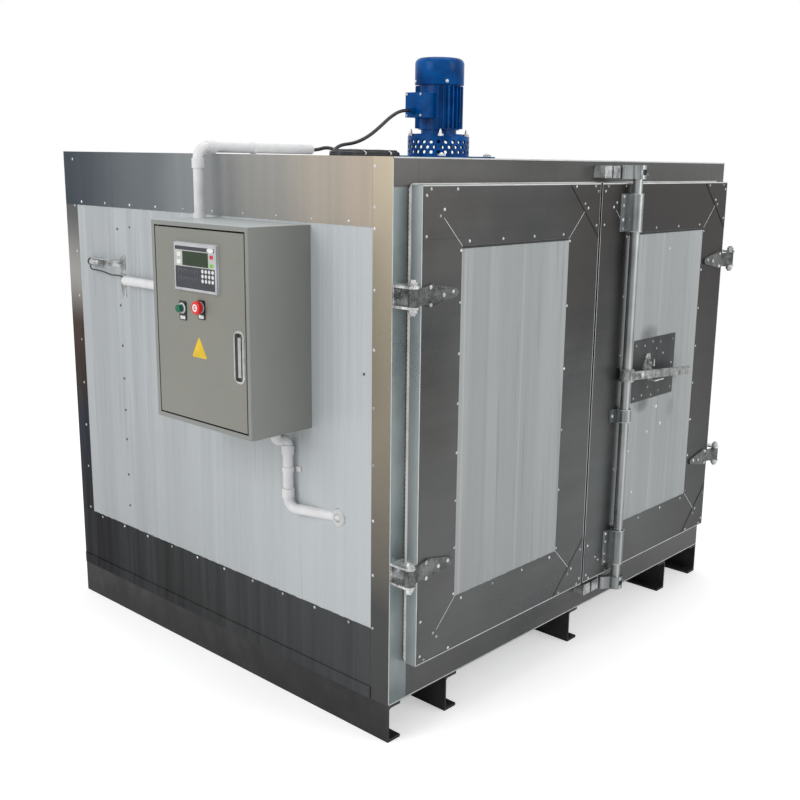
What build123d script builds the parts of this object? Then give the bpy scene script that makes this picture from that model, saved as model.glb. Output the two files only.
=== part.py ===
from build123d import *
from math import atan2, cos, degrees, hypot, pi, radians, sin, sqrt, tan
import os

# Powder coating oven: an insulated cabinet on five steel channels, with two container-type
# doors at the front (-Y), a control box on the left side (-X) and a fan motor on the roof.
# Millimetres, +Z up. The origin is on the ground under the middle of the cabinet.
# Heights named _z and places named _x and _y are counted from the cabinet's lower left
# front corner, as they were measured, and the helpers turn them into the model's frame.

# Cabinet
body_w = 1900.0
body_d = 1680.0
body_h = 1600.0
wall_t = 100.0
floor_t = 148.0
sheet_t = 2.0
joint_gap = 0.5

# Channels under the cabinet
foot_h = 120.0
foot_flange = 53.0
foot_web_t = 5.5
foot_flange_t = 9.0
foot_root_r = 8.0
foot_in = 260.0

# Edge trims
header_h = 73.0
jamb_side_w = 75.0
post_w = 77.0
top_band_h = 190.0
roof_lap = 45.0
bottom_band_h = 227.0
base_strip_h = 38.0
base_strip_t = 3.0

# Doors
door_t = 38.0
door_stand_off = 12.0
door_side_margin = 62.0
door_bottom_z = 123.0
door_meet_x = 942.0
door_seam = 8.0
door_frame_w = 172.0
door_frame_h = 171.0
door_sheet_t = 1.5
plug_depth = 62.0
plug_gap_side = 14.0
plug_gap_mid = 36.0
corner_leg = 140.0
corner_plate_t = 1.5
seal_d = 11.4
seal_in = 14.0
seal_corner_r = 20.0

# Hinges
hinge_pin_x = 18.0
hinge_pin_y = 62.0
hinge_pin_d = 16.0
hinge_pin_half = 49.0
hinge_nut_d = 25.0
hinge_nut_h = 11.0
hinge_spread = 806.0
hinge_lug_t = 7.0
hinge_lug_gap = 50.0
hinge_lug_r = 17.0
hinge_web_t = 5.0
hinge_web_w = 54.0
hinge_play = 0.4
barrel_d = 27.0
barrel_h = 48.0
strap_t = 6.0
strap_head_h = 64.0
strap_fold_x = 74.0
strap_base_x = 104.0
strap_tip_x = 209.0
strap_tip_h = 22.0
strap_rib_h = 9.0

# Lock gear on the right door
rod_x = 1122.0
rod_off = 27.0
rod_d = 34.0
cam_z_out = 36.0
cam_h = 46.0
cam_r = 27.0
cam_reach = 64.0
cam_nose_r = 11.0
cam_angle = 145.0
cam_pin_d = 10.0
cam_pin_l = 50.0
cover_h = 127.0
cover_in = 36.0
cover_t = 6.2
cover_foot_t = 3.5
cover_play = 0.3
cover_flange = 36.0
clamp_h = 46.0
clamp_z = 716.0
keeper_w = 42.0
keeper_gap = 10.0
keeper_h = 40.0
keeper_depth = 44.0
keeper_clear = 6.0
hub_h = 44.0
hub_t = 9.0
hub_z = 862.0
lever_len = 420.0
lever_h = 30.0
lever_t = 8.0
lever_drop = 34.0
fit_play = 0.2
back_plate_x = 1205.0
back_plate_w = 298.0
back_plate_z = 740.0
back_plate_h = 230.0
back_plate_t = 2.0
catch_x = 1270.0
catch_w = 66.0
catch_h = 95.0
catch_t = 5.0
catch_gap = 6.0

# Control box on the left side
box_y = 330.0
box_w = 460.0
box_z = 797.0
box_h = 607.0
box_depth = 228.0
box_t = 2.0
box_rim = 14.0
box_slot = 5.0
box_fold = 14.0
box_pivot_in = 6.0
box_pivot_d = 4.0
box_pivot_l = 16.0
display_y = 463.0
display_w = 202.0
display_z = 1206.0
display_h = 139.0
display_proud = 8.0
display_depth = 40.0
display_r = 6.0
stop_y = 549.0
stop_z = 1161.0
stop_head_d = 40.0
stop_head_h = 13.0
stop_stem_d = 22.0
stop_gap = 9.0
legend_w = 46.0
legend_t = 3.0
switch_y = 640.0
switch_z = 1150.0
switch_ring_d = 29.0
switch_knob_d = 22.0
switch_knob_h = 16.0
pull_y = 378.0
pull_z = 1035.0
pull_h = 140.0
pull_w = 34.0
pull_gap = 14.0
pull_bar_d = 14.0

# Conduits
conduit_d = 32.0
conduit_wall = 2.4
socket_d = 39.0
socket_l = 30.0
conduit_bend_r = 34.0
conduit_off = 22.0
upper_y = 768.0
upper_x = 66.0
upper_run = 466.0
lower_y = 415.0
lower_x = 70.0
lower_turn_z = 752.0
lower_drop_z = 530.0
lower_end_y = 192.0
lower_end_z = 541.0
probe_end_y = 1278.0
probe_conduit_z = 1160.0
clip_w = 16.0
clip_t = 3.0

# Probe and its bracket
bracket_y = 1318.0
bracket_z = 1097.0
bracket_h = 148.0
bracket_w = 28.0
bracket_t = 3.0
arm_l = 165.0
arm_w = 24.0
arm_z = 1226.0
probe_d = 24.0
probe_len = 56.0
probe_cap_d = 28.0
probe_cap_l = 9.0

# Fan motor on the roof
motor_x = 908.0
motor_y = 640.0
base_w = 300.0
base_t = 8.0
drum_d = 225.0
drum_h = 70.0
drum_t = 3.0
drum_flange_t = 6.0
hole_d = 13.0
hole_rows = 3
hole_count = 26
neck_d = 130.0
neck_h = 23.0
frame_d = 150.0
frame_h = 156.0
fin_count = 28
fin_t = 3.0
fin_h = 12.0
cowl_d = 178.0
cowl_h = 96.0
cowl_dome_h = 22.0
shaft_d = 28.0
term_l = 62.0
term_w = 78.0
term_h = 86.0
term_z = 62.0
gland_d = 22.0
gland_l = 20.0
cable_d = 12.0
lead_d = 5.0

# Places that follow from the sizes above
left = -body_w / 2
right = body_w / 2
front = -body_d / 2
back = body_d / 2
bottom = foot_h
top = foot_h + body_h
panel_x = left + sheet_t
roof_z = top - sheet_t
open_x0 = left + wall_t + sheet_t
open_x1 = right - wall_t - sheet_t
open_z0 = bottom + floor_t + sheet_t
open_z1 = top - wall_t - sheet_t
door_back = front - door_stand_off
door_face = door_back - door_t
door_x0 = left + door_side_margin
door_x1 = right - door_side_margin
door_z0 = bottom + door_bottom_z
door_z1 = top - header_h
meet = left + door_meet_x
panel_face = door_face + door_sheet_t
door_mid_z = (door_z0 + door_z1) / 2
hinge_zs = (door_mid_z - hinge_spread / 2, door_mid_z + hinge_spread / 2)
pin_x = left + hinge_pin_x
pin_y = front - hinge_pin_y
lock_x = left + rod_x
lock_y = door_face - rod_off
cam_zs = (door_z0 - cam_z_out, door_z1 + cam_z_out)
rod_z0 = cam_zs[0] - cam_h / 2
rod_z1 = cam_zs[1] + cam_h / 2
box_face = left - box_depth
motor_cx = left + motor_x
motor_cy = front + motor_y


def block(x0, x1, y0, y1, z0, z1):
    """Box between two corners."""
    shape = Box(abs(x1 - x0), abs(y1 - y0), abs(z1 - z0))
    return Pos((x0 + x1) / 2, (y0 + y1) / 2, (z0 + z1) / 2) * shape


def rod(x, y, z0, z1, d):
    """Upright round bar."""
    return Pos(x, y, (z0 + z1) / 2) * Cylinder(d / 2, z1 - z0)


def bar(start, end, d):
    """Round bar between two points."""
    a = Vector(*start)
    b = Vector(*end)
    face = Plane(origin=a, z_dir=b - a) * Circle(d / 2)
    return extrude(face, (b - a).length)


def prism(points, plane, depth):
    """Prism over a polygon drawn in a plane."""
    face = make_face(Polyline(*points, close=True).edges())
    return extrude(plane * face, depth)


def group(*solids):
    """Like solids of one node, standing apart."""
    return Compound(children=[part for shape in solids for part in shape.solids()])


def mirrored(shape):
    """The same piece on the other side of the cabinet."""
    return mirror(shape, about=Plane.YZ)


# Channels under the cabinet

def foot_channel(x, side):
    """Rolled channel along Y; side is +1 where its flanges point to +X."""
    outline = Pos(foot_flange / 2, foot_h / 2) * Rectangle(foot_flange, foot_h)
    hollow_w = foot_flange - foot_web_t
    hollow = Rectangle(hollow_w, foot_h - 2 * foot_flange_t)
    section = outline - Pos(foot_web_t + hollow_w / 2, foot_h / 2) * hollow
    roots = [v for v in section.vertices() if abs(v.X - foot_web_t) < 0.01]
    section = fillet(roots, foot_root_r)
    if side < 0:
        section = mirror(section, about=Plane.YZ)
    plane = Plane(origin=(x, back, 0), x_dir=(1, 0, 0), z_dir=(0, -1, 0))
    return extrude(plane * section, body_d, dir=(0, -1, 0))


# Insulated panels of the cabinet

def floor_panel():
    return block(panel_x, -panel_x, front + sheet_t, back - sheet_t, bottom, bottom + floor_t)


def roof_panel():
    return block(panel_x, -panel_x, front + sheet_t, back - sheet_t, top - wall_t, top - sheet_t)


def side_panel():
    return block(panel_x, left + wall_t, front + sheet_t, back - sheet_t,
                 bottom + floor_t, top - wall_t)


def back_panel():
    return block(left + wall_t, right - wall_t, back - wall_t, back - sheet_t,
                 bottom + floor_t, top - wall_t)


# Folded sheet round the doorway, and the trims along the edges

def front_frame():
    y1 = front + sheet_t
    leg = front + jamb_side_w
    jamb = block(left, open_x0, front, y1, bottom, top)
    jamb += block(left, panel_x, front, leg, bottom, top)
    jamb += block(open_x0 - sheet_t, open_x0, front, front + wall_t, open_z0, open_z1)
    x0 = open_x0 + joint_gap
    header = block(x0, -x0, front, y1, open_z1, top)
    header += block(x0, -x0, front, front + roof_lap, top - sheet_t, top)
    header += block(x0, -x0, front, front + wall_t, open_z1, open_z1 + sheet_t)
    sill = block(x0, -x0, front, y1, bottom, open_z0)
    sill += block(x0, -x0, front, front + wall_t, open_z0 - sheet_t, open_z0)
    return group(jamb, mirrored(jamb), header, sill)


def corner_posts():
    z0 = bottom + bottom_band_h + joint_gap
    z1 = top - top_band_h - joint_gap
    post = block(left, panel_x, back - post_w, back, z0, z1)
    post += block(left, left + post_w, back - sheet_t, back, z0, z1)
    return group(post, mirrored(post))


def top_band():
    z0 = top - top_band_h
    y0 = front + jamb_side_w + joint_gap
    side = block(left, panel_x, y0, back - sheet_t - joint_gap, z0, top)
    side += block(left, left + roof_lap, y0, back - sheet_t - joint_gap, top - sheet_t, top)
    rear = block(left, right, back - sheet_t, back, z0, top)
    lap_x = left + roof_lap + joint_gap
    rear += block(lap_x, -lap_x, back - roof_lap, back, top - sheet_t, top)
    return group(side, mirrored(side), rear)


def bottom_band():
    z1 = bottom + bottom_band_h
    y0 = front + jamb_side_w + joint_gap
    out = base_strip_t
    side = block(left, panel_x, y0, back - sheet_t - joint_gap, bottom, z1)
    side += block(left - out, left, y0, back - sheet_t - joint_gap, bottom, bottom + base_strip_h)
    rear = block(left, right, back - sheet_t, back, bottom, z1)
    rear += block(left, right, back, back + out, bottom, bottom + base_strip_h)
    return group(side, mirrored(side), rear)


def door_seal():
    """Braided rope laid in a ring round the doorway."""
    y = front - seal_d / 2
    w = door_x1 - door_x0 - 2 * seal_in
    h = door_z1 - door_z0 - 2 * seal_in
    plane = Plane(origin=(0, y, door_mid_z), x_dir=(1, 0, 0), z_dir=(0, -1, 0))
    path = plane * RectangleRounded(w, h, seal_corner_r).wire()
    start = path.position_at(0)
    section = Plane(origin=start, z_dir=path.tangent_at(0)) * Circle(seal_d / 2)
    return sweep(section, path)


# Hinges

def hinge_bracket(z):
    """U-shaped bracket on the front frame with its fixed pin."""
    x0 = left + 3
    half = hinge_lug_gap / 2 + hinge_lug_t
    web = block(x0, x0 + hinge_web_w, front - hinge_web_t, front, z - half, z + half)
    outline = Pos(pin_x, pin_y) * Circle(hinge_lug_r)
    outline += Pos(pin_x, (pin_y + front) / 2) * Rectangle(2 * hinge_lug_r, front - pin_y)
    shape = web
    for level in (z - half, z + half - hinge_lug_t):
        shape += extrude(Pos(0, 0, level) * outline, hinge_lug_t)
    shape += Pos(pin_x, pin_y, z) * Cylinder(hinge_pin_d / 2, 2 * hinge_pin_half)
    nut = extrude(RegularPolygon(hinge_nut_d / 2, 6), hinge_nut_h)
    shape += Pos(pin_x, pin_y, z + half) * nut
    shape += Pos(pin_x, pin_y, z - half - hinge_nut_h) * nut
    return shape


def hinge_brackets():
    low, high = (hinge_bracket(z) for z in hinge_zs)
    return group(low, high, mirrored(low), mirrored(high))


def hinge_strap(z):
    """Blade that turns on the pin and tapers to an arrow on the door."""
    fold = left + strap_fold_x
    barrel = Pos(pin_x, pin_y, z) * Cylinder(barrel_d / 2, barrel_h)
    reach = barrel_d / 2
    neck = prism([(pin_x, pin_y - reach + 2), (fold, door_face - strap_t), (fold, door_face),
                  (left + door_side_margin - 2, door_face - 0.6), (pin_x, pin_y + 1)],
                 Plane.XY.offset(z - barrel_h / 2), barrel_h)
    base = left + strap_base_x
    tip = left + strap_tip_x
    back_plane = Plane(origin=(0, door_face, z), x_dir=(1, 0, 0), z_dir=(0, -1, 0))
    head = prism([(fold - 0.5, -barrel_h / 2), (base, -strap_head_h / 2), (tip, -strap_tip_h / 2),
                  (tip + 8, 0), (tip, strap_tip_h / 2), (base, strap_head_h / 2),
                  (fold - 0.5, barrel_h / 2)], back_plane, strap_t)
    bore = Pos(pin_x, pin_y, z) * Cylinder(hinge_pin_d / 2 + hinge_play, 2 * barrel_h)
    return barrel + neck + head - bore


def left_straps():
    return group(*(hinge_strap(z) for z in hinge_zs))


# Doors

def door_sheet(x0, x1):
    """Folded front sheet of one door: frame round the panel, rim and corner plates."""
    t = door_sheet_t
    w, h = x1 - x0, door_z1 - door_z0
    plane = Plane(origin=((x0 + x1) / 2, door_back, door_mid_z), x_dir=(1, 0, 0), z_dir=(0, -1, 0))
    rim = Rectangle(w, h) - Rectangle(w - 2 * t, h - 2 * t)
    face = Rectangle(w, h) - Rectangle(w - 2 * door_frame_w, h - 2 * door_frame_h)
    shape = extrude(plane * rim, door_t)
    shape += extrude(plane.offset(door_t - t) * face, t)
    for sx in (-1, 1):
        for sz in (-1, 1):
            cx, cz = sx * (w / 2 - 4), sz * (h / 2 - 4)
            shape += prism([(cx, cz), (cx - sx * corner_leg, cz), (cx, cz - sz * corner_leg)],
                           plane.offset(door_t), corner_plate_t)
    return shape


def door_core(x0, x1, plug_x0, plug_x1):
    """Insulated slab of one door with the plug that fills the doorway."""
    t = door_sheet_t
    slab = block(x0 + t, x1 - t, panel_face, door_back, door_z0 + t, door_z1 - t)
    plug = block(plug_x0, plug_x1, door_back, door_back + door_stand_off + plug_depth,
                 open_z0 + plug_gap_side, open_z1 - plug_gap_side)
    return slab + plug


# Lock gear

def rod_cover(z0, height):
    """Hat-shaped bearing bent round the rod and screwed to the door."""
    r1 = rod_d / 2 + cover_play
    r2 = r1 + cover_t
    depth = door_face - lock_y

    def legs(r):
        return Circle(r) + Pos(0, depth / 2) * Rectangle(2 * r, depth)

    feet = Pos(0, depth - cover_foot_t / 2) * Rectangle(2 * (r2 + cover_flange), cover_foot_t)
    section = legs(r2) + feet - legs(r1)
    return extrude(Pos(lock_x, lock_y, z0) * section, height)


def rod_bearings():
    return group(rod_cover(door_z1 - cover_in - cover_h, cover_h),
                 rod_cover(bottom + clamp_z - clamp_h / 2, clamp_h),
                 rod_cover(door_z0 + cover_in, cover_h))


def cam():
    """Cam head: a collar with a hooked nose and a stub pin."""
    nose_x = (cam_reach - cam_nose_r) * cos(radians(cam_angle))
    nose_y = (cam_reach - cam_nose_r) * sin(radians(cam_angle))
    length = hypot(nose_x, nose_y)
    tongue = Rot(0, 0, cam_angle) * Pos(length / 2, 0) * Rectangle(length, 2 * cam_nose_r)
    section = Circle(cam_r) + tongue + Pos(nose_x, nose_y) * Circle(cam_nose_r)
    shape = extrude(section, cam_h)
    window = Pos(0, -cam_r - 10, cam_h / 2) * Box(2 * cam_r * 0.6, 2 * 22, cam_h * 0.4)
    shape -= window
    pin = Plane(origin=(0, -6, cam_h * 0.3), z_dir=(1, 0, 0)) * Circle(cam_pin_d / 2)
    return shape + extrude(pin, cam_pin_l)


def lock_rod():
    shape = Pos(lock_x, lock_y, rod_z0) * extrude(Circle(rod_d / 2), rod_z1 - rod_z0)
    for z in cam_zs:
        shape += Pos(lock_x, lock_y, z - cam_h / 2) * cam()
    return shape


def lock_handle():
    """Hub clamped on the rod with a flat lever."""
    z = bottom + hub_z
    hub = extrude(Circle(rod_d / 2 + hub_t) - Circle(rod_d / 2 + fit_play), hub_h)
    hub = Pos(lock_x, lock_y, z - hub_h / 2) * hub
    y1 = lock_y - rod_d / 2 - fit_play - 1
    plane = Plane(origin=(lock_x, y1, z), x_dir=(1, 0, 0), z_dir=(0, -1, 0))
    tilt = degrees(atan2(-lever_drop, lever_len))
    blade = Rot(0, 0, tilt) * Pos(lever_len / 2 - 8, 0) * RectangleRounded(lever_len + 16, lever_h, 7)
    return hub + extrude(plane * blade, lever_t)


def lock_back_plate():
    x0 = left + back_plate_x
    z0 = bottom + back_plate_z
    w, h = back_plate_w, back_plate_h
    plane = Plane(origin=(x0 + w / 2, panel_face, z0 + h / 2), x_dir=(1, 0, 0), z_dir=(0, -1, 0))
    return extrude(plane * RectangleRounded(w, h, 4), back_plate_t)


def lever_centre(x):
    return bottom + hub_z - lever_drop * (x - lock_x) / lever_len


def handle_catch():
    """Arched plate behind the lever, with a shelf below it and an ear above it."""
    x = left + catch_x + catch_w / 2
    y = panel_face - back_plate_t
    z = lever_centre(x)
    low = -lever_h / 2 - catch_gap - catch_t
    half = catch_w / 2
    plane = Plane(origin=(x, y, z), x_dir=(1, 0, 0), z_dir=(0, -1, 0))
    arch = prism([(-half, low), (half, low), (half, -lever_h / 4), (half * 0.35, catch_h * 0.7),
                  (-half * 0.35, catch_h * 0.7), (-half, -lever_h / 4)], plane, catch_t)
    depth = door_face - lock_y + rod_d / 2 + lever_t + 4
    shelf = block(x - half, x + half, y - depth, y, z + low, z + low + catch_t)
    ear_z = z + lever_h / 2 + catch_gap + 2
    ear = block(x - 4, x + 4, y - depth * 0.55, y, ear_z, ear_z + 26)
    hole = Pos(x, y - depth * 0.38, ear_z + 13) * Rot(0, 90, 0) * Cylinder(5, 30)
    return arch + shelf + (ear - hole)


def keepers():
    gap_y = lock_y - (front - keeper_depth)
    clear = cam_reach + keeper_clear
    x1 = lock_x - sqrt(clear ** 2 - gap_y ** 2)
    solids = []
    for z in cam_zs:
        base = block(x1 - 2 * keeper_w - keeper_gap, x1, front - 10, front, z - keeper_h / 2,
                     z + keeper_h / 2)
        for x in (x1 - keeper_w, x1 - 2 * keeper_w - keeper_gap):
            base += block(x, x + keeper_w, front - keeper_depth, front, z - keeper_h / 2,
                          z + keeper_h / 2)
        solids.append(base)
    return group(*solids)


# Control box

box_y0 = front + box_y
box_y1 = box_y0 + box_w
box_z0 = bottom + box_z
box_z1 = box_z0 + box_h
box_door_y0 = box_y0 + box_rim + box_slot
box_door_y1 = box_y1 - box_rim - box_slot
box_door_z0 = box_z0 + box_rim + box_slot
box_door_z1 = box_z1 - box_rim - box_slot
box_hinge_x = box_face + box_pivot_in
box_hinge_y = box_door_y1 - box_pivot_in


def control_box():
    t = box_t
    shell = block(box_face, panel_x, box_y0, box_y1, box_z0, box_z1)
    shell -= block(box_face + t, panel_x - t, box_y0 + t, box_y1 - t, box_z0 + t, box_z1 - t)
    rim = box_rim
    mouth = block(box_face - 1, box_face + 2 * t, box_y0 + rim, box_y1 - rim,
                  box_z0 + rim, box_z1 - rim)
    shell -= mouth
    for z, s in ((box_door_z0, -1), (box_door_z1, 1)):
        z1 = z + s * (box_slot + box_rim)
        shell += block(box_face, box_hinge_x + 6, box_hinge_y - 5, box_hinge_y + 5, z + s * box_slot, z1)
        start = (box_hinge_x, box_hinge_y, z1)
        end = (box_hinge_x, box_hinge_y, z - s * box_pivot_l / 2)
        shell += bar(start, end, box_pivot_d)
    return shell


def pull_recess():
    """Mouth of the pull handle's pocket in the door."""
    y, z = front + pull_y, bottom + pull_z
    return block(box_face - 1, box_face + pull_gap, y - pull_w / 2, y + pull_w / 2,
                 z - pull_h / 2, z + pull_h / 2)


def control_box_door():
    t = box_t
    y0, y1, z0, z1 = box_door_y0, box_door_y1, box_door_z0, box_door_z1
    pan = block(box_face, box_face + box_fold, y0, y1, z0, z1)
    pan -= block(box_face + t, box_face + box_fold + 1, y0 + t, y1 - t, z0 + t, z1 - t)
    pan -= rod(box_hinge_x, box_hinge_y, z0 - 1, z1 + 1, box_pivot_d + 2 * hinge_play)
    y, z = front + pull_y, bottom + pull_z
    pocket = block(box_face, box_face + pull_gap + t, y - pull_w / 2 - t, y + pull_w / 2 + t,
                   z - pull_h / 2 - t, z + pull_h / 2 + t)
    window = block(box_face - 1, box_face + t + 1, front + display_y + 4,
                   front + display_y + display_w - 4, bottom + display_z + 4,
                   bottom + display_z + display_h - 4)
    shape = pan + pocket - pull_recess() - window
    stop_hole = Pos(box_face, front + stop_y, bottom + stop_z) * Rot(0, 90, 0)
    shape -= stop_hole * Cylinder(stop_stem_d / 2 + 0.5, 20)
    return shape


def pull_handle():
    """Grip bar standing in the pocket on two feet."""
    y, z = front + pull_y, bottom + pull_z
    x = box_face + pull_bar_d / 2 - 4
    half = pull_h / 2 - 12
    shape = bar((x, y, z - half), (x, y, z + half), pull_bar_d)
    for s in (-1, 1):
        shape += bar((x, y, z + s * (half - 8)), (box_face + pull_gap, y, z + s * (half - 8)), 9)
    return shape


def display_panel():
    y0, z0 = front + display_y, bottom + display_z
    plane = Plane(origin=(box_face, y0 + display_w / 2, z0 + display_h / 2), x_dir=(0, 1, 0),
                  z_dir=(-1, 0, 0))
    bezel = extrude(plane * RectangleRounded(display_w, display_h, display_r), display_proud)
    rear = block(box_face, box_face + display_depth, y0 + 6, y0 + display_w - 6, z0 + 6,
                 z0 + display_h - 6)
    return bezel + rear


def stop_button():
    """Mushroom head on its stem; it slides through the legend plate."""
    y, z = front + stop_y, bottom + stop_z
    x0 = box_face - legend_t - stop_gap
    head = bar((x0, y, z), (x0 - stop_head_h, y, z), stop_head_d)
    rim = head.edges().filter_by(GeomType.CIRCLE).sort_by(Axis.X)[0]
    head = fillet(rim, 4)
    return head + bar((x0 - 1, y, z), (box_face + 24, y, z), stop_stem_d - 1)


def stop_legend():
    y, z = front + stop_y, bottom + stop_z
    plane = Plane(origin=(box_face, y, z), x_dir=(0, 1, 0), z_dir=(-1, 0, 0))
    plate = Circle(legend_w / 2) - Circle(stop_stem_d / 2 + 0.5)
    return extrude(plane * plate, legend_t)


def selector_knob():
    y, z = front + switch_y, bottom + switch_z
    shape = bar((box_face - 0.3, y, z), (box_face - 5, y, z), switch_ring_d)
    shape += bar((box_face - 5, y, z), (box_face - 5 - switch_knob_h, y, z), switch_knob_d)
    return shape


# Conduits

def tube(points, radii, d, wall):
    """Pipe along straight runs joined by arcs."""
    path = FilletPolyline(*points, radius=radii) if len(points) > 2 else Line(*points)
    wire = Wire(path.edges())
    start = wire.position_at(0)
    plane = Plane(origin=start, z_dir=wire.tangent_at(0))
    section = Circle(d / 2) - Circle(d / 2 - wall) if wall else Circle(d / 2)
    return sweep(plane * section, path=wire)


def sleeve(start, direction, length):
    """Socket on the outside of the pipe."""
    a = Vector(*start)
    face = Plane(origin=a, z_dir=direction) * (Circle(socket_d / 2) - Circle(conduit_d / 2 - 0.5))
    return extrude(face, length)


def upper_conduit():
    x, y = left - upper_x, front + upper_y
    z = roof_z + sheet_t + socket_d / 2
    end = left + upper_run - upper_x
    shape = tube([(x, y, box_z1), (x, y, z), (end, y, z)], conduit_bend_r, conduit_d, conduit_wall)
    shape += sleeve((x, y, z - conduit_bend_r - socket_l), (0, 0, 1), socket_l)
    shape += sleeve((x + conduit_bend_r, y, z), (1, 0, 0), socket_l)
    shape += sleeve((x, y, box_z1), (0, 0, 1), socket_l / 2)
    return shape


def lower_conduit():
    x0, x1, y = left - lower_x, left - conduit_off, front + lower_y
    z0, z1, z2 = bottom + lower_turn_z, bottom + lower_drop_z, bottom + lower_end_z
    points = [(x0, y, box_z0), (x0, y, z0), (x1, y, z0), (x1, y, z1),
              (left + 20, front + lower_end_y - 8, z2)]
    shape = tube(points, [20, 20, conduit_bend_r], conduit_d, conduit_wall)
    shape += sleeve((x1, y, z0 - 20 - socket_l), (0, 0, 1), socket_l)
    shape += sleeve((x1, y, z1 + conduit_bend_r), (0, 0, 1), socket_l)
    return shape - block(panel_x, left + wall_t, front, back, bottom, top)


def probe_conduit():
    z = bottom + probe_conduit_z
    x = panel_x - socket_d / 2 - 1
    return tube([(x, box_y1, z), (x, front + probe_end_y, z)], 0, conduit_d, conduit_wall)


# Probe

def probe_bracket():
    y, z = front + bracket_y, bottom + bracket_z
    shape = block(panel_x - bracket_t, panel_x, y - bracket_w / 2, y + bracket_w / 2, z,
                  z + bracket_h)
    az = bottom + arm_z
    y1 = y + arm_l
    shape += block(panel_x - bracket_t - arm_w, panel_x - bracket_t, y - bracket_w / 2, y1,
                   az - bracket_t, az)
    shape += block(panel_x - bracket_t, panel_x, y - bracket_w / 2, y1, az - arm_w, az)
    return shape


def probe():
    y = front + bracket_y + arm_l - 2
    z = bottom + arm_z - bracket_t - probe_d / 2
    x = panel_x - bracket_t - probe_d / 2 - 0.3
    shape = bar((x, y - 40, z), (x, y + 16, z), probe_d)
    return shape + bar((x, y + 16, z), (x, y + 16 + probe_cap_l, z), probe_cap_d)


# Fan motor

roof_base_z = roof_z + base_t
drum_z1 = roof_base_z + drum_h
frame_z0 = drum_z1 + neck_h
frame_z1 = frame_z0 + frame_h


def motor_stand():
    """Base plate with a perforated drum under a bolting flange."""
    base = Pos(motor_cx, motor_cy, roof_z) * extrude(RectangleRounded(base_w, base_w, 6), base_t)
    wall = extrude(Circle(drum_d / 2) - Circle(drum_d / 2 - drum_t), drum_h - drum_flange_t)
    cap = Pos(0, 0, drum_h - drum_flange_t) * extrude(
        Circle(drum_d / 2) - Circle(shaft_d / 2 + 6), drum_flange_t)
    pitch = (drum_h - drum_flange_t) / (hole_rows + 0.6)
    cutters = []
    for row in range(hole_rows):
        z = pitch * (row + 0.8)
        for k in range(hole_count):
            angle = 360 / hole_count * (k + 0.5 * (row % 2))
            cutters.append(Rot(0, 0, angle) * Pos(drum_d / 2 - drum_t / 2, 0, z)
                           * Rot(0, 90, 0) * Cylinder(hole_d / 2, 3 * drum_t))
    drum = Pos(motor_cx, motor_cy, roof_base_z) * (wall - cutters + cap)
    return base + drum


def motor():
    """Flange neck, finned frame, shaft and terminal box of the motor."""
    neck = extrude(Circle(neck_d / 2), neck_h)
    flange = extrude(Circle(drum_d / 2 - 22), 8)
    core = Pos(0, 0, neck_h) * extrude(Circle(frame_d / 2), frame_h)
    fins = [Rot(0, 0, 360 / fin_count * k) * Pos(frame_d / 2 + fin_h / 2 - 1, 0, neck_h + frame_h / 2)
            * Box(fin_h + 2, fin_t, frame_h - 8) for k in range(fin_count)
            if abs(((360 / fin_count * k - 180) + 180) % 360 - 180) > 34]
    shaft = Pos(0, 0, -drum_h + 4) * extrude(Circle(shaft_d / 2), drum_h)
    term = block(-frame_d / 2 - term_l, -frame_d / 2 + 20, -term_w / 2, term_w / 2,
                 neck_h + term_z - term_h / 2 + 20, neck_h + term_z + term_h / 2 + 20)
    gland = bar((-frame_d / 2 - term_l, 0, neck_h + term_z), (-frame_d / 2 - term_l - gland_l, 0,
                neck_h + term_z), gland_d)
    shape = neck + flange + core + fins + shaft + term + gland
    return Pos(motor_cx, motor_cy, drum_z1) * shape


def fan_cowl():
    """Domed cover over the motor's cooling fan."""
    r = cowl_d / 2
    dome_r = (r ** 2 + cowl_dome_h ** 2) / (2 * cowl_dome_h)
    shape = extrude(Circle(r), cowl_h) & Pos(0, 0, cowl_h - dome_r) * Sphere(dome_r)
    return Pos(motor_cx, motor_cy, frame_z1) * shape


# Cords

gland_x = motor_cx - frame_d / 2 - term_l - gland_l
gland_z = drum_z1 + neck_h + term_z
cable_points = [(gland_x, motor_cy, gland_z), (gland_x - 40, motor_cy, gland_z),
                (gland_x - 92, motor_cy + 3, gland_z - 24), (gland_x - 140, motor_cy + 10, gland_z - 62),
                (gland_x - 186, motor_cy + 22, gland_z - 96), (gland_x - 232, motor_cy + 40, gland_z - 118),
                (gland_x - 274, motor_cy + 66, gland_z - 124), (gland_x - 306, motor_cy + 96, gland_z - 132),
                (gland_x - 330, motor_cy + 122, gland_z - 142.5), (gland_x - 358, motor_cy + 128, gland_z - 143.5)]
coil_x, coil_y = gland_x - 186, motor_cy + 34
coil_w, coil_d, coil_band, coil_h = 300.0, 120.0, 34.0, 26.1


def cord(points, d):
    """Tube of straight runs and arcs as large as the runs allow."""
    pts = [Vector(*p) for p in points]
    radii = []
    for a, b, c in zip(pts, pts[1:], pts[2:]):
        turn = (b - a).get_angle(c - b)
        radii.append(0.45 * min((b - a).length, (c - b).length) / tan(radians(turn / 2)))
    print("cord radii", [round(r) for r in radii])
    return tube(points, radii, d, 0)


def motor_cable():
    return cord(cable_points, cable_d)


def cable_coil():
    outer = RectangleRounded(coil_w, coil_d, coil_d / 2 - 1)
    inner_d = coil_d - 2 * coil_band
    inner = RectangleRounded(coil_w - 2 * coil_band, inner_d, inner_d / 2 - 1)
    return Pos(coil_x, coil_y, roof_z) * extrude(outer - inner, coil_h)


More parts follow.
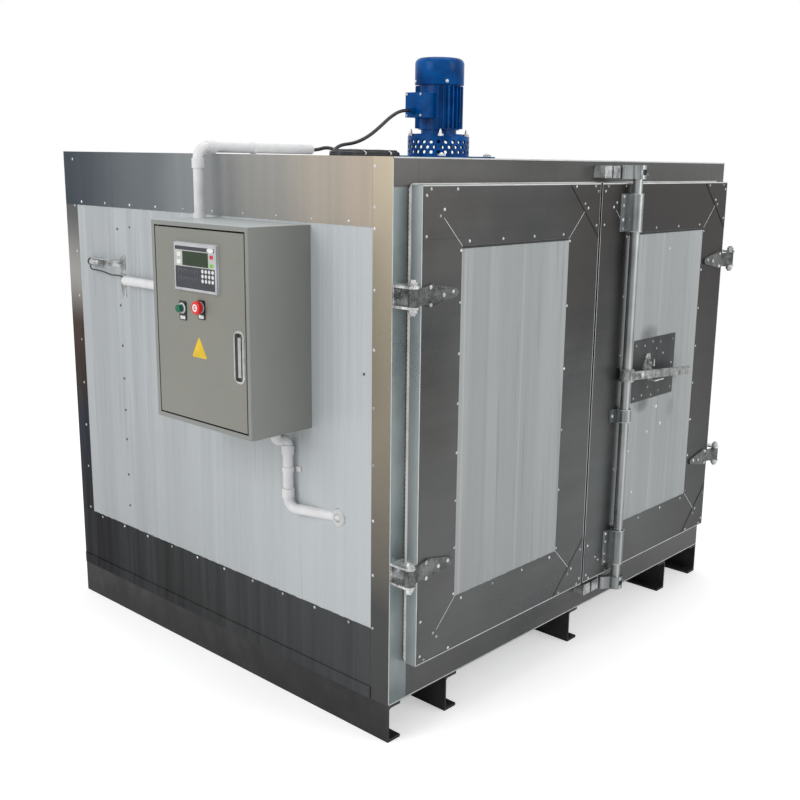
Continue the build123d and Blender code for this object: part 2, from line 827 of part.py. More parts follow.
lead_x = panel_x - socket_d / 2 - 1
lead_z = bottom + probe_conduit_z + conduit_d / 2 - conduit_wall - lead_d / 2 - 0.3
cap_z = bottom + arm_z - bracket_t - probe_d / 2 - probe_cap_d / 2
lead_points = [(lead_x, front + 1502, cap_z), (lead_x, front + 1501, cap_z - 9),
               (lead_x, front + 1493, cap_z - 14), (lead_x, front + 1480, cap_z - 15),
               (lead_x, front + 1455, cap_z - 14), (lead_x, front + 1410, cap_z - 17),
               (lead_x, front + 1365, cap_z - 25), (lead_x, front + 1320, lead_z + 5),
               (lead_x, front + 1284, lead_z), (lead_x, front + 1262, lead_z + 0.2)]


def probe_lead():
    return cord(lead_points, lead_d)


left_x = (door_x0, meet - door_seam / 2)
right_x = (meet + door_seam / 2, door_x1)
plug_left = (open_x0 + plug_gap_side, meet - plug_gap_mid / 2)
plug_right = (meet + plug_gap_mid / 2, open_x1 - plug_gap_side)

feet = [(left, 1), (left + foot_in, 1), (-foot_web_t, 1), (right - foot_in, -1), (right, -1)]
nodes = {f"foot_channel_{i + 1}": foot_channel(x, side) for i, (x, side) in enumerate(feet)}
nodes |= {
    "floor_panel": floor_panel(),
    "roof_panel": roof_panel(),
    "left_wall": side_panel(),
    "right_wall": mirrored(side_panel()),
    "back_wall": back_panel(),
    "front_frame": front_frame(),
    "corner_posts": corner_posts(),
    "top_band": top_band(),
    "bottom_band": bottom_band(),
    "door_seal": door_seal(),
    "hinge_brackets": hinge_brackets(),
    "left_door_straps": left_straps(),
    "right_door_straps": mirrored(left_straps()),
    "left_door_sheet": door_sheet(*left_x),
    "right_door_sheet": door_sheet(*right_x),
    "left_door_core": door_core(*left_x, *plug_left),
    "right_door_core": door_core(*right_x, *plug_right),
    "rod_bearings": rod_bearings(),
    "lock_rod": lock_rod(),
    "lock_handle": lock_handle(),
    "lock_back_plate": lock_back_plate(),
    "handle_catch": handle_catch(),
    "keepers": keepers(),
    "control_box": control_box(),
    "control_box_door": control_box_door(),
    "pull_handle": pull_handle(),
    "display_panel": display_panel(),
    "stop_button": stop_button(),
    "stop_legend": stop_legend(),
    "selector_knob": selector_knob(),
    "upper_conduit": upper_conduit(),
    "lower_conduit": lower_conduit(),
    "probe_conduit": probe_conduit(),
    "probe_bracket": probe_bracket(),
    "probe": probe(),
    "motor_stand": motor_stand(),
    "motor": motor(),
    "fan_cowl": fan_cowl(),
    "motor_cable": motor_cable(),
    "cable_coil": cable_coil(),
    "probe_lead": probe_lead(),
}

os.makedirs("parts", exist_ok=True)
for name, shape in nodes.items():
    export_step(shape, f"parts/{name}.step")
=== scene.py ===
# %% [markdown]
# # A powder coating oven in Blender
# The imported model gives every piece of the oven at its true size, in metres, on bodies that
# swing and turn. This lesson dresses it: sheet metal, ribbed panels, rivets, controls, the
# motor and its cable. A CAD piece whose shape is right stays and only gets a finish; the rest
# is built here and rides on the same body.

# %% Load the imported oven
import bpy
import bmesh
from math import cos, hypot, pi, radians, sin
from mathutils import Matrix, Vector


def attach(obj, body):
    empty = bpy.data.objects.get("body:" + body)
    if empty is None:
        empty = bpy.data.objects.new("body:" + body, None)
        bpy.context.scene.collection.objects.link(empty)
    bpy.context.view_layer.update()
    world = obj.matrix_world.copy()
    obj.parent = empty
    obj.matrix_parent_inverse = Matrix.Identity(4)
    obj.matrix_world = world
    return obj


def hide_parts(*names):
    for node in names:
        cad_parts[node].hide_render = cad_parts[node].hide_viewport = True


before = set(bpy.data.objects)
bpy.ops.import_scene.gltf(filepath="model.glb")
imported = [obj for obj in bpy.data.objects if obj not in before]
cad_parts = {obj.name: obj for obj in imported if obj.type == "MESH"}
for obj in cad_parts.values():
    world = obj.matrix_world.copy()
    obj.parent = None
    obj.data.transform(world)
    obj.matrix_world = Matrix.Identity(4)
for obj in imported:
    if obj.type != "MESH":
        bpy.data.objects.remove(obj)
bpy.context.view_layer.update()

# %% [markdown]
# ## Camera
# The photograph was taken from the left front corner at standing height. The camera's place
# was worked out from eight corners of the cabinet, so every edge falls where it does in the
# picture. A small shift stands in for the crop of the photograph.

# %% Camera
camera = bpy.data.objects.new("camera", bpy.data.cameras.new("camera"))
bpy.context.scene.collection.objects.link(camera)
bpy.context.scene.camera = camera
picture, focal_pixels = 800, 1053.9
lens_x, lens_y = 429.1, 394.5
camera.data.sensor_width = 36.0
camera.data.lens = camera.data.sensor_width * focal_pixels / picture
camera.data.shift_x = (picture / 2 - lens_x) / picture
camera.data.shift_y = (lens_y - picture / 2) / picture
turn = (Matrix.Rotation(radians(-48.395), 4, "Z") @ Matrix.Rotation(radians(90 - 12.595), 4, "X")
        @ Matrix.Rotation(radians(0.9855), 4, "Z"))
camera.matrix_world = Matrix.Translation((-3.0194, -2.8196, 1.7149)) @ turn
print("camera at", [round(v, 2) for v in camera.matrix_world.translation])

# %% [markdown]
# ## Places
# The photograph was measured from the cabinet's lower left front corner: across, back and up,
# in millimetres. One helper turns such a place into the model's metres.

# %% Places on the cabinet
WIDE, DEEP, HIGH, FOOT = 1900, 1680, 1600, 120
LEFT_DOOR, RIGHT_DOOR = (62, 938), (946, 1838)
DOOR_LOW, DOOR_HIGH, FACE = 123, 1527, -50
HINGES, ROD, MOTOR = (422, 1228), 1122, (908, 640)
OUT_LEFT, OUT_RIGHT, OUT_FRONT, OUT_BACK, UP = (-1, 0, 0), (1, 0, 0), (0, -1, 0), (0, 1, 0), (0, 0, 1)


def at(across, back, up):
    """A measured place in millimetres as a point in metres."""
    return Vector((across - WIDE / 2, back - DEEP / 2, up + FOOT)) / 1000


print("top right back corner:", [round(v, 3) for v in at(WIDE, DEEP, HIGH)])

# %% [markdown]
# ## Cable and lead
# The motor's black cable leaves its gland, falls to the roof and is laid in flat loops before
# it goes into the white conduit. The probe's thin lead hangs from the cap to its conduit.
# Both are one smooth NURBS line through the points of the route, thickened by the curve's
# own bevel, because a cable keeps its length and bends without corners.

# %% A helper for cables
def cable(name, points, diameter):
    """A smooth tube on an open NURBS spline; its thickness is the points' own radius."""
    curve = bpy.data.curves.new(name, "CURVE")
    curve.dimensions = "3D"
    spline = curve.splines.new("NURBS")
    spline.points.add(len(points) - 1)
    for control, place in zip(spline.points, points):
        control.co, control.radius = (*place, 1), diameter / 2
    spline.order_u = 3
    spline.use_endpoint_u = True
    spline.resolution_u = 6
    curve.bevel_depth = 1
    curve.bevel_resolution = 4
    curve.use_fill_caps = True
    piece = bpy.data.objects.new(name, curve)
    bpy.context.scene.collection.objects.link(piece)
    return piece


def line_length(piece):
    """Length of a curve's own line, read from the curve with its bevel off."""
    depth, piece.data.bevel_depth = piece.data.bevel_depth, 0
    bpy.context.view_layer.update()
    mesh = bpy.data.meshes.new_from_object(piece.evaluated_get(bpy.context.evaluated_depsgraph_get()))
    total = sum((mesh.vertices[a].co - mesh.vertices[b].co).length
                for a, b in (edge.vertices for edge in mesh.edges))
    piece.data.bevel_depth = depth
    return total


# %% The motor cable and its loops
gland = at(751, 640, 1761)
fall = [(751, 640, 1761), (711, 640, 1761), (659, 643, 1737), (611, 650, 1699), (565, 662, 1665),
        (519, 680, 1643), (477, 706, 1637)]
into = [(445, 736, 1629), (421, 762, 1618.5), (393, 768, 1617.5)]
MIDDLE, LONG, SHORT = (565, 674), 300, 120


def loop(inset, up, parts=20):
    """One flat turn of the hank, this far in from its outline."""
    r = SHORT / 2 - inset
    half = LONG / 2 - SHORT / 2
    places = []
    for i in range(parts):
        t = 2 * pi * (i + 0.5) / parts
        places.append((MIDDLE[0] + (half if cos(t) > 0 else -half) + r * cos(t),
                       MIDDLE[1] + r * sin(t), up))
        if i in (parts // 4 - 1, parts * 3 // 4 - 1):
            places += [(MIDDLE[0] + half * k * (1 if sin(t) > 0 else -1), MIDDLE[1] + r * sin(t), up)
                       for k in (0.5, 0, -0.5)]
    return places


turns = (loop(16, 1617)[10:] + loop(8, 1611) + loop(21, 1611) + loop(27, 1605) + loop(7, 1605)
         + loop(19, 1605.4) + loop(27, 1617)[:10])
cable_points = [at(*place) for place in fall + turns + into]
motor_cable = cable("motor_cable_line", cable_points, 0.012)
print("motor cable length", round(line_length(motor_cable), 3))

# %% The probe lead
lead_places = [(1502, 1197), (1501, 1188), (1493, 1183), (1480, 1182), (1455, 1183), (1410, 1180),
               (1365, 1172), (1320, 1175.8), (1284, 1170.8), (1262, 1171)]
lead_points = [at(-18.5, back, up) for back, up in lead_places]
probe_lead = cable("probe_lead_line", lead_points, 0.005)
print("probe lead length", round(line_length(probe_lead), 3))

# %% [markdown]
# ## Light
# The picture is a cut-out on white, lit by open daylight. A white world that only the camera,
# gloss and glass see at full strength gives the background, and three soft lamps shape the
# sheet metal: a wide one from the camera's left, a weaker one in front and one overhead.

# %% World and floor
scene = bpy.context.scene
scene.view_settings.view_transform = "Standard"


class Value:
    """A shader socket that Python's own operators can work on."""

    def __init__(self, tree, socket):
        self.tree, self.socket = tree, socket

    def math(self, operation, *others):
        node = self.tree.nodes.new("ShaderNodeMath")
        node.operation = operation
        for slot, item in zip(node.inputs, (self, *others)):
            join(self.tree, slot, item)
        return Value(self.tree, node.outputs[0])

    def __add__(self, other): return self.math("ADD", other)
    def __radd__(self, other): return self.math("ADD", other)
    def __sub__(self, other): return self.math("SUBTRACT", other)
    def __rsub__(self, other): return (self * -1).math("ADD", other)
    def __mul__(self, other): return self.math("MULTIPLY", other)
    def __rmul__(self, other): return self.math("MULTIPLY", other)
    def __truediv__(self, other): return self.math("DIVIDE", other)
    def __pow__(self, other): return self.math("POWER", other)
    def __gt__(self, other): return self.math("GREATER_THAN", other)
    def __lt__(self, other): return self.math("LESS_THAN", other)


def join(tree, slot, item):
    """Put a number, a colour or a link into a socket."""
    item = item.socket if isinstance(item, Value) else item
    if isinstance(item, bpy.types.NodeSocket):
        tree.links.new(item, slot)
    else:
        slot.default_value = item


def knot(tree, kind, settings=None, **inputs):
    """One node with its settings and its sockets, which are named, or numbered as _0, _1."""
    node = tree.nodes.new(kind)
    for key, item in (settings or {}).items():
        setattr(node, key, item)
    for key, item in inputs.items():
        join(tree, node.inputs[int(key[1:]) if key[1:].isdigit() else key.replace("_", " ")], item)
    return node


class Finish:
    """A material under construction: add() makes any node and returns its first output."""

    def __init__(self, name, color=(0.5, 0.5, 0.5), roughness=0.5, metallic=0.0, **fixed):
        self.material = bpy.data.materials.new(name)
        self.material.use_nodes = True
        self.tree = self.material.node_tree
        self.shader = self.tree.nodes["Principled BSDF"]
        self.set(Base_Color=(*color, 1), Roughness=roughness, Metallic=metallic, **fixed)

    def set(self, **sockets):
        for name, item in sockets.items():
            join(self.tree, self.shader.inputs[name.replace("_", " ")], item)

    def add(self, kind, settings=None, out=0, **inputs):
        return Value(self.tree, knot(self.tree, "ShaderNode" + kind, settings, **inputs).outputs[out])

    def axes(self):
        node = knot(self.tree, "ShaderNodeSeparateXYZ", _0=self.add("TexCoord", out="Object"))
        return [Value(self.tree, out) for out in node.outputs]

    def noise(self, scale, detail=2.0, stretch=(1, 1, 1), rough=0.5):
        where = self.add("Mapping", Vector=self.add("TexCoord", out="Object"), Scale=stretch)
        return self.add("TexNoise", Vector=where, Scale=scale, Detail=detail, Roughness=rough)

    def range(self, value, low, high, to_low=0.0, to_high=1.0):
        return self.add("MapRange", Value=value, From_Min=low, From_Max=high, To_Min=to_low,
                        To_Max=to_high)

    def mix(self, amount, first, second):
        first, second = ((*c, 1) if isinstance(c, tuple) else c for c in (first, second))
        return self.add("Mix", {"data_type": "RGBA"}, 2, _0=amount, _6=first, _7=second)

    def bump(self, height, strength=0.3, distance=0.001):
        self.set(Normal=self.add("Bump", Height=height, Strength=strength, Distance=distance))


world = bpy.data.worlds.new("studio")
scene.world = world
world.use_nodes = True
sky = world.node_tree
rays = sky.nodes.new("ShaderNodeLightPath")
seen = Value(sky, rays.outputs["Is Camera Ray"]).math("MAXIMUM", Value(sky, rays.outputs["Is Glossy Ray"]))
seen = seen.math("MAXIMUM", Value(sky, rays.outputs["Is Transmission Ray"]))
WORLD_LIGHT, FLOOR_GLOW = 0.62, 0.42
join(sky, sky.nodes["Background"].inputs["Strength"], seen * (1 - WORLD_LIGHT) + WORLD_LIGHT)
sky.nodes["Background"].inputs["Color"].default_value = (1, 1, 1, 1)

floor = bpy.data.objects.new("floor", bpy.data.meshes.new("floor"))
floor.data.from_pydata([(-40, -40, 0), (40, -40, 0), (40, 40, 0), (-40, 40, 0)], [], [(0, 1, 2, 3)])
scene.collection.objects.link(floor)
pale = Finish("studio_floor", (0.9, 0.9, 0.9), 0.9, Emission_Color=(1, 1, 1, 1))
pale.set(Emission_Strength=pale.add("LightPath", out="Is Camera Ray") * FLOOR_GLOW)
floor.data.materials.append(pale.material)

# %% Lamps
def lamp(name, place, target, size, power):
    """A square soft box that looks at a point."""
    light = bpy.data.lights.new(name, "AREA")
    light.size, light.energy = size, power
    piece = bpy.data.objects.new(name, light)
    scene.collection.objects.link(piece)
    aim = (Vector(target) - Vector(place)).to_track_quat("-Z", "Y")
    piece.matrix_world = Matrix.Translation(place) @ aim.to_matrix().to_4x4()


lamp("side_box", (-5.2, 0.4, 3.2), (-0.9, 0, 1.0), 3.0, 90)
lamp("front_box", (1.2, -5.5, 3.0), (0.3, -0.8, 1.0), 2.6, 70)
lamp("top_box", (0, 0, 5.5), (0, 0, 1.7), 3.0, 60)

# %% [markdown]
# ## Sheet metal finishes
# The trims and door frames are folded from galvanised sheet. Weather has dulled it, so it is
# dark and half glossy, with long soft streaks from rolling and cloudy patches from handling.
# Noise stretched along the sheet makes the streaks; a second noise makes the clouds.

# %% Galvanised sheet
def toned(color, factor):
    """A colour made darker or lighter, never beyond white."""
    return tuple(min(v * factor, 1) for v in color)


def galvanised(name, tone, streak_axis, rough, metal=0.85, tint=None):
    """Rolled zinc sheet: streaks run along one axis; a tint paints a reflection of the pale yard, paler on
    its lower part.
    """
    look = Finish(name, (tone, tone, tone), rough, metal)
    stretch = [22, 22, 22]
    stretch[streak_axis] = 0.9
    streaks = look.noise(1.0, 4.0, tuple(stretch), 0.55)
    clouds = look.noise(2.1, 5.0, rough=0.6)
    specks = look.noise(160, 2.0)
    level = look.range(streaks * 0.25 + clouds * 0.7 + specks * 0.05, 0.38, 0.62)
    color = look.mix(level, toned((0.66, 0.70, 0.74), tone), toned((1.32, 1.33, 1.30), tone))
    # painted reflection: with a tint, the tone fades with height from the top tone to the paler foot tone
    if tint:
        height = look.range(look.axes()[2] + clouds * 0.3, 0.5, 1.75)
        top, foot = tint
        color = look.mix(0.46, color, look.mix(height, toned(foot, tone), toned(top, tone)))
    look.set(Base_Color=color, Roughness=look.range(clouds * 0.8 + specks * 0.2, 0.3, 0.7, rough - 0.1,
                                                    rough + 0.14))
    look.bump(streaks * 0.85 + specks * 0.15, 0.06, 0.0006)
    return look, color


# painted reflection on the door frames: darker and warmer at the top, paler and bluish at the foot
TOP_REFLECTION, FOOT_REFLECTION = (0.72, 0.70, 0.68), (1.62, 1.72, 1.72)
door_zinc, frame_color = galvanised("zinc_door_frame", 0.098, 0, 0.32, tint=(TOP_REFLECTION, FOOT_REFLECTION))
across, deep, high = door_zinc.axes()
# painted light: the outer rim faces of the doors are painted pale, as lit faces
rim = across.math("ABSOLUTE") > 0.8872
# painted shade: the right door darkens towards its right edge
shade = door_zinc.range(across, 0.25, 0.85) * (across < 0.8872) * 0.6
frame_color = door_zinc.mix(shade, frame_color, (0.030, 0.030, 0.031))
# painted reflection: a pale glare down the stiles where the two doors meet
glare = door_zinc.range((across - 0.055).math("ABSOLUTE"), 0.0, 0.07, 1, 0)
glare = glare * door_zinc.range(door_zinc.noise(2.2, 3.0, (2, 2, 0.8)), 0.4, 0.65) * 0.35
frame_color = door_zinc.mix(glare, frame_color, (0.135, 0.165, 0.18))
drift = door_zinc.range(door_zinc.noise(3.1, 4.0), 0.5, 0.72) * 0.4
frame_color = door_zinc.mix(drift, frame_color, (0.085, 0.070, 0.062))
# painted shade: the upper part of the doors grows darker from the left door's right side rightwards
gloom = door_zinc.range(high, 1.05, 1.6) * door_zinc.range(across, -0.32, 0.0) * 0.62
frame_color = door_zinc.mix(gloom, frame_color, (0.036, 0.029, 0.026))
# the rim mask gives the painted pale rim faces their colour
door_zinc.set(Base_Color=door_zinc.mix(rim, frame_color, (0.46, 0.50, 0.51)))
plate_zinc, _ = galvanised("zinc_back_plate", 0.085, 2, 0.42)
roof_zinc, _ = galvanised("zinc_roof", 0.42, 1, 0.42, 0.6)

# %% The folded frame round the doorway, with painted reflections: beige on its side and bluish on the jamb beside the hinges
# painted reflection: a tint makes the header's tone slightly paler towards its foot
trim_front, header_color = galvanised("zinc_trim_front", 0.115, 0, 0.32,
                                      tint=((1.05, 1.0, 0.92), (1.15, 1.15, 1.15)))
across, deep, high = trim_front.axes()
side = across < -0.9492
jamb = (across < -0.875) * (high < 1.64)
# painted reflection: the jamb face left of the door is a cloudy pale blue
bluish_reflection = trim_front.mix(trim_front.range(trim_front.noise(4, 4.0), 0.35, 0.65), (0.21, 0.245, 0.25),
                        (0.36, 0.40, 0.405))
# painted reflection: the frame's left side face grows from dark near the floor to beige near the top
drift = high + trim_front.noise(2.5, 3.0) * 0.3
beige_reflection = trim_front.mix(trim_front.range(drift, 0.55, 1.25), (0.085, 0.086, 0.086), (0.34, 0.30, 0.225))
beige_reflection = trim_front.mix(trim_front.range(drift, 1.25, 1.8), beige_reflection, (0.54, 0.465, 0.355))
color = trim_front.mix(jamb, header_color, bluish_reflection)
trim_front.set(Base_Color=trim_front.mix(side, color, beige_reflection))
print("zinc sheet finishes ready")

# %% Side trims, with a painted reflection of the yard around them
def side_trim(name, stops, low=-0.84, high=0.84, along=1, rough=0.3, metal=0.45):
    """Glossy zinc with a painted reflection of its blurred surroundings: its tone drifts along the cabinet.
    """
    look = Finish(name, (0.3, 0.3, 0.3), rough, metal, Specular_IOR_Level=0.15 if metal > 0.3 else 0.04,
                  Specular_Tint=(0.4, 0.4, 0.42, 1))
    ramp = look.tree.nodes.new("ShaderNodeValToRGB")
    ramp.color_ramp.interpolation = "EASE"
    while len(ramp.color_ramp.elements) < len(stops):
        ramp.color_ramp.elements.new(0.5)
    for element, (place, tone) in zip(ramp.color_ramp.elements, stops):
        element.position, element.color = place, (*tone, 1)
    wander = look.noise(2.3, 3.0) * 0.08 - 0.04
    join(look.tree, ramp.inputs[0], look.range(look.axes()[along], low, high) + wander)
    streaks = look.noise(1.0, 5.0, (30, 30, 1.0), 0.6)
    dull = look.range(streaks, 0.35, 0.7)
    tone = Value(look.tree, ramp.outputs[0])
    look.set(Base_Color=look.mix(dull * 0.22, tone, (0.16, 0.17, 0.17)),
             Roughness=look.range(streaks, 0.3, 0.7, rough - 0.06, rough + 0.1))
    look.bump(streaks, 0.08, 0.0005)
    return look


# painted reflections: each ramp's stops are the tones of the yard mirrored along the trim
band_side = side_trim("zinc_top_band", [(0.0, (0.56, 0.46, 0.36)), (0.16, (0.46, 0.41, 0.35)),
                                        (0.30, (0.36, 0.35, 0.33)), (0.55, (0.27, 0.29, 0.30)),
                                        (0.68, (0.16, 0.18, 0.195)), (1.0, (0.055, 0.07, 0.085))])
post_side = side_trim("zinc_back_post", [(0.0, (0.012, 0.010, 0.012)), (0.3, (0.014, 0.014, 0.03)),
                                         (0.45, (0.03, 0.016, 0.012)), (0.62, (0.06, 0.035, 0.025)),
                                         (0.80, (0.36, 0.35, 0.33)), (1.0, (0.12, 0.12, 0.12))],
                      0.34, 1.53, 2, metal=0.15)
bottom_zinc = side_trim("zinc_bottom_band", [(0.0, (0.068, 0.070, 0.074)), (0.35, (0.050, 0.051, 0.052)),
                                             (0.7, (0.028, 0.028, 0.029)), (1.0, (0.014, 0.014, 0.016))],
                        rough=0.36)
print("side trims ready")

# %% [markdown]
# ## Ribbed panels
# The insulated panels have a coated steel skin, rolled with shallow upright ribs that are not
# evenly spaced. The ribs are only about a millimetre deep, but they catch the light, so they
# are real geometry: Geometry Nodes lift the columns of a fine grid by a profile that is a sum
# of a few steps. The profile's depth and pitch are inputs of the tree; the steps come from the RIBS table.

# %% Skin finish
def skin(name, tone, along, rust_and_lit_front=False, smudges=()):
    """Pale stove enamel with painted shade in bands across the ribs, greyer near the floor, with a little
    dust and a few scuffs.
    """
    look = Finish(name, tone, 0.38, 0.0)
    stretch = [0.02, 0.02, 0.02]
    stretch[along] = 1
    # painted shade: lighter and darker bands and thin dark lines stand in for the ribs' tilted faces
    wide_band_shade = look.range(look.noise(13, 0.0, tuple(stretch)), 0.44, 0.56)
    narrow_band_shade = look.range(look.noise(42, 1.0, tuple(stretch)), 0.42, 0.50, 1, 0)
    line = look.range(look.noise(95, 0.0, tuple(stretch)), 0.24, 0.30, 1, 0)
    clouds = look.noise(2.6, 5.0, rough=0.6)
    x, y, z = look.axes()
    color = look.mix(wide_band_shade, toned(tone, 0.93), toned(tone, 1.05))
    for amount, darker in ((narrow_band_shade * 0.35, 0.84), (line * 0.5, 0.66),
                           (look.range(clouds, 0.45, 0.75) * 0.3, 0.8),
                           (look.range(z, 0.3, 1.6, 1, 0) * 0.42, 0.72)):
        color = look.mix(amount, color, toned(tone, darker))
    # rust streaks under the ledge, and painted light towards the front
    if rust_and_lit_front:
        under = look.range(z, 0.58, 0.95) * (z < 0.925)
        near = look.range((y + 0.30).math("ABSOLUTE"), 0.05, 0.26, 1, 0)
        drip = look.range(look.noise(1.0, 4.0, (40, 40, 2.4)), 0.5, 0.68)
        color = look.mix(under * near * drip * 0.5, color, (0.30, 0.26, 0.21))
        # painted light: the side walls grow paler towards the front
        front = look.range(y, -0.75, 0.45, 1, 0)
        color = look.mix(front * 0.62, color, toned(tone, 1.35))
    for (across, up), (wide, tall), depth in smudges:
        far = ((x - across) / wide) ** 2 + ((z - up) / tall) ** 2
        spot = look.range(far, 0.0, 1.0, 1, 0) * look.range(clouds, 0.3, 0.6)
        color = look.mix(spot * depth, color, (0.07, 0.07, 0.065))
    look.set(Base_Color=color, Roughness=look.range(clouds, 0.3, 0.7, 0.3, 0.48))
    look.bump(look.noise(700, 1.0), 0.05, 0.0002)
    return look


wall_skin = skin("wall_skin", (0.43, 0.457, 0.472), 1, rust_and_lit_front=True)
back_skin = skin("back_wall_skin", (0.44, 0.46, 0.47), 0)
grease = [((0.36, 1.10), (0.075, 0.045), 0.75), ((0.33, 0.85), (0.06, 0.04), 0.7),
          ((0.55, 0.80), (0.03, 0.05), 0.3)]
door_skin = skin("door_skin", (0.376, 0.400, 0.406), 0, smudges=grease)
core_grey = skin("door_slab_edge", (0.45, 0.46, 0.455), 0)

# %% Ribbed sheet by Geometry Nodes
def group_tree(name, sockets):
    """An empty geometry tree with named inputs; returns the tree and its input node."""
    tree = bpy.data.node_groups.new(name, "GeometryNodeTree")
    tree.interface.new_socket("Geometry", in_out="INPUT", socket_type="NodeSocketGeometry")
    tree.interface.new_socket("Geometry", in_out="OUTPUT", socket_type="NodeSocketGeometry")
    for label, kind in sockets:
        tree.interface.new_socket(label, in_out="INPUT", socket_type="NodeSocket" + kind)
    return tree, tree.nodes.new("NodeGroupInput")


def close_tree(tree, geometry, material):
    """Realize the instances, set the material and lead to the output."""
    real = knot(tree, "GeometryNodeRealizeInstances", Geometry=geometry)
    paint = knot(tree, "GeometryNodeSetMaterial", Geometry=real.outputs[0], Material=material)
    out = tree.nodes.new("NodeGroupOutput")
    tree.links.new(paint.outputs[0], out.inputs[0])


def grown(name, base, tree, values, body):
    """Run a tree on a mesh with these input values and keep the result as a plain mesh."""
    source = bpy.data.objects.new(name + "_source", base)
    scene.collection.objects.link(source)
    modifier = source.modifiers.new("grow", "NODES")
    modifier.node_group = tree
    for item in tree.interface.items_tree:
        if item.in_out == "INPUT" and item.name in values:
            modifier[item.identifier] = values[item.name]
    bpy.context.view_layer.update()
    result = source.evaluated_get(bpy.context.evaluated_depsgraph_get())
    mesh = bpy.data.meshes.new_from_object(result)
    source.modifiers.remove(modifier)
    bpy.data.objects.remove(source)
    piece = bpy.data.objects.new(name, mesh)
    scene.collection.objects.link(piece)
    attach(piece, body)
    print(name, len(mesh.polygons), "faces")
    return piece


def math_node(tree, operation, first, second=0.5):
    return knot(tree, "ShaderNodeMath", {"operation": operation}, _0=first, _1=second).outputs[0]


def rib_tree(material):
    """Lifts a grid's points along a direction by a rib profile across the sheet."""
    tree, given = group_tree("ribs", [("Across", "Vector"), ("Lift", "Vector"), ("Depth", "Float"),
                                      ("Pitch", "Float")])
    where = tree.nodes.new("GeometryNodeInputPosition").outputs[0]
    along = knot(tree, "ShaderNodeVectorMath", {"operation": "DOT_PRODUCT"}, _0=where,
                 _1=given.outputs["Across"]).outputs["Value"]
    share = math_node(tree, "FRACT", math_node(tree, "DIVIDE", along, given.outputs["Pitch"]))
    total = None
    for middle, half, height in RIBS:
        gap = math_node(tree, "ABSOLUTE", math_node(tree, "SUBTRACT", share, middle))
        step = knot(tree, "ShaderNodeMapRange", {"interpolation_type": "SMOOTHSTEP"}, Value=gap,
                    From_Min=half - 0.006, From_Max=half + 0.006, To_Min=height, To_Max=0.0).outputs[0]
        total = step if total is None else math_node(tree, "ADD", total, step)
    amount = math_node(tree, "MULTIPLY", total, given.outputs["Depth"])
    shift = knot(tree, "ShaderNodeVectorMath", {"operation": "SCALE"}, _0=given.outputs["Lift"],
                 Scale=amount).outputs[0]
    moved = knot(tree, "GeometryNodeSetPosition", Geometry=given.outputs["Geometry"], Offset=shift)
    close_tree(tree, moved.outputs[0], material)
    return tree


RIBS = [(0.06, 0.035, 1.0), (0.17, 0.02, 0.6), (0.33, 0.055, 0.8), (0.335, 0.018, 0.4),
        (0.52, 0.012, -0.9), (0.66, 0.04, 0.9), (0.80, 0.018, 0.5), (0.93, 0.03, 0.9)]


def ribbed(name, corner, across, up, lift, depth, pitch, material, body, columns):
    """A fine grid between two edges, one face high, handed to the rib tree."""
    corner, across, up, lift = (Vector(v) for v in (corner, across, up, lift))
    mesh = bpy.data.meshes.new(name + "_grid")
    verts = [corner + across * (i / columns) + up * j for i in range(columns + 1) for j in (0, 1)]
    flip = across.cross(up).dot(lift) < 0
    faces = [(2 * i, 2 * i + 2, 2 * i + 3, 2 * i + 1) for i in range(columns)]
    faces = [face[::-1] for face in faces] if flip else faces
    mesh.from_pydata(verts, [], faces)
    values = {"Across": across.normalized(), "Lift": lift, "Depth": depth, "Pitch": pitch}
    return grown(name, mesh, rib_tree(material), values, body)


proud = 0.0003
wall_low, wall_rise, wall_pitch = 227, (0, 0, 1.183), 0.33
for name, x, out in (("left_wall_skin", 2 - 1000 * proud, OUT_LEFT),
                     ("right_wall_skin", WIDE - 2 + 1000 * proud, OUT_RIGHT)):
    ribbed(name, at(x, 75, wall_low), (0, 1.528, 0), wall_rise, out, 0.0013, wall_pitch,
           wall_skin.material, "oven", 640)
ribbed("back_wall_skin", at(75, DEEP - 2 + 1000 * proud, wall_low), (1.75, 0, 0), wall_rise, OUT_BACK,
       0.0018, wall_pitch, back_skin.material, "oven", 700)
panel_y = FACE + 1.5 - 1000 * proud
for body, x, wide in (("left_door", 234, 0.532), ("right_door", 1118, 0.548)):
    ribbed(body + "_skin", at(x, panel_y, 294), (wide, 0, 0), (0, 0, 1.062), OUT_FRONT, 0.0009, 0.28,
           door_skin.material, body, 300)

# %% [markdown]
# ## Other finishes
# Zinc castings and the lock rod are brighter and rougher than sheet; the channels are brushed
# with black paint; the control box has an orange-peel powder coat; conduits are plain white
# plastic; the motor is dipped in thick blue enamel. Each gets its own small recipe, with
# grime where hands or water have been. The rod and its bearings also carry a painted highlight
# and painted shade, and the castings' clouds double as painted reflections.

# %% Castings, rod and fittings
def casting(name, tone, rough, metal=0.75):
    """Zinc plated steel: bright, with grey clouds, bare specks and a fine grain; the clouds' strong
    contrast is partly painted reflection.
    """
    look = Finish(name, (tone,) * 3, rough, metal)
    clouds, specks = look.noise(34, 3.0), look.noise(220, 3.0)
    # partly zinc spangle, partly painted reflection: the clouds and specks swing from dull to bright
    level = look.range(clouds * 0.65 + specks * 0.35, 0.36, 0.66)
    tint = (1.0, 1.03, 1.03)
    dull = tuple(tone * 0.36 * c for c in tint)
    bright = tuple(min(tone * 1.6 * c, 0.95) for c in tint)
    look.set(Base_Color=look.mix(level, dull, bright),
             Roughness=look.range(specks * 0.5 + clouds * 0.5, 0.3, 0.7, rough - 0.1, rough + 0.18))
    look.bump(specks, 0.2, 0.0005)
    return look


ROD_X = at(ROD, 0, 0).x


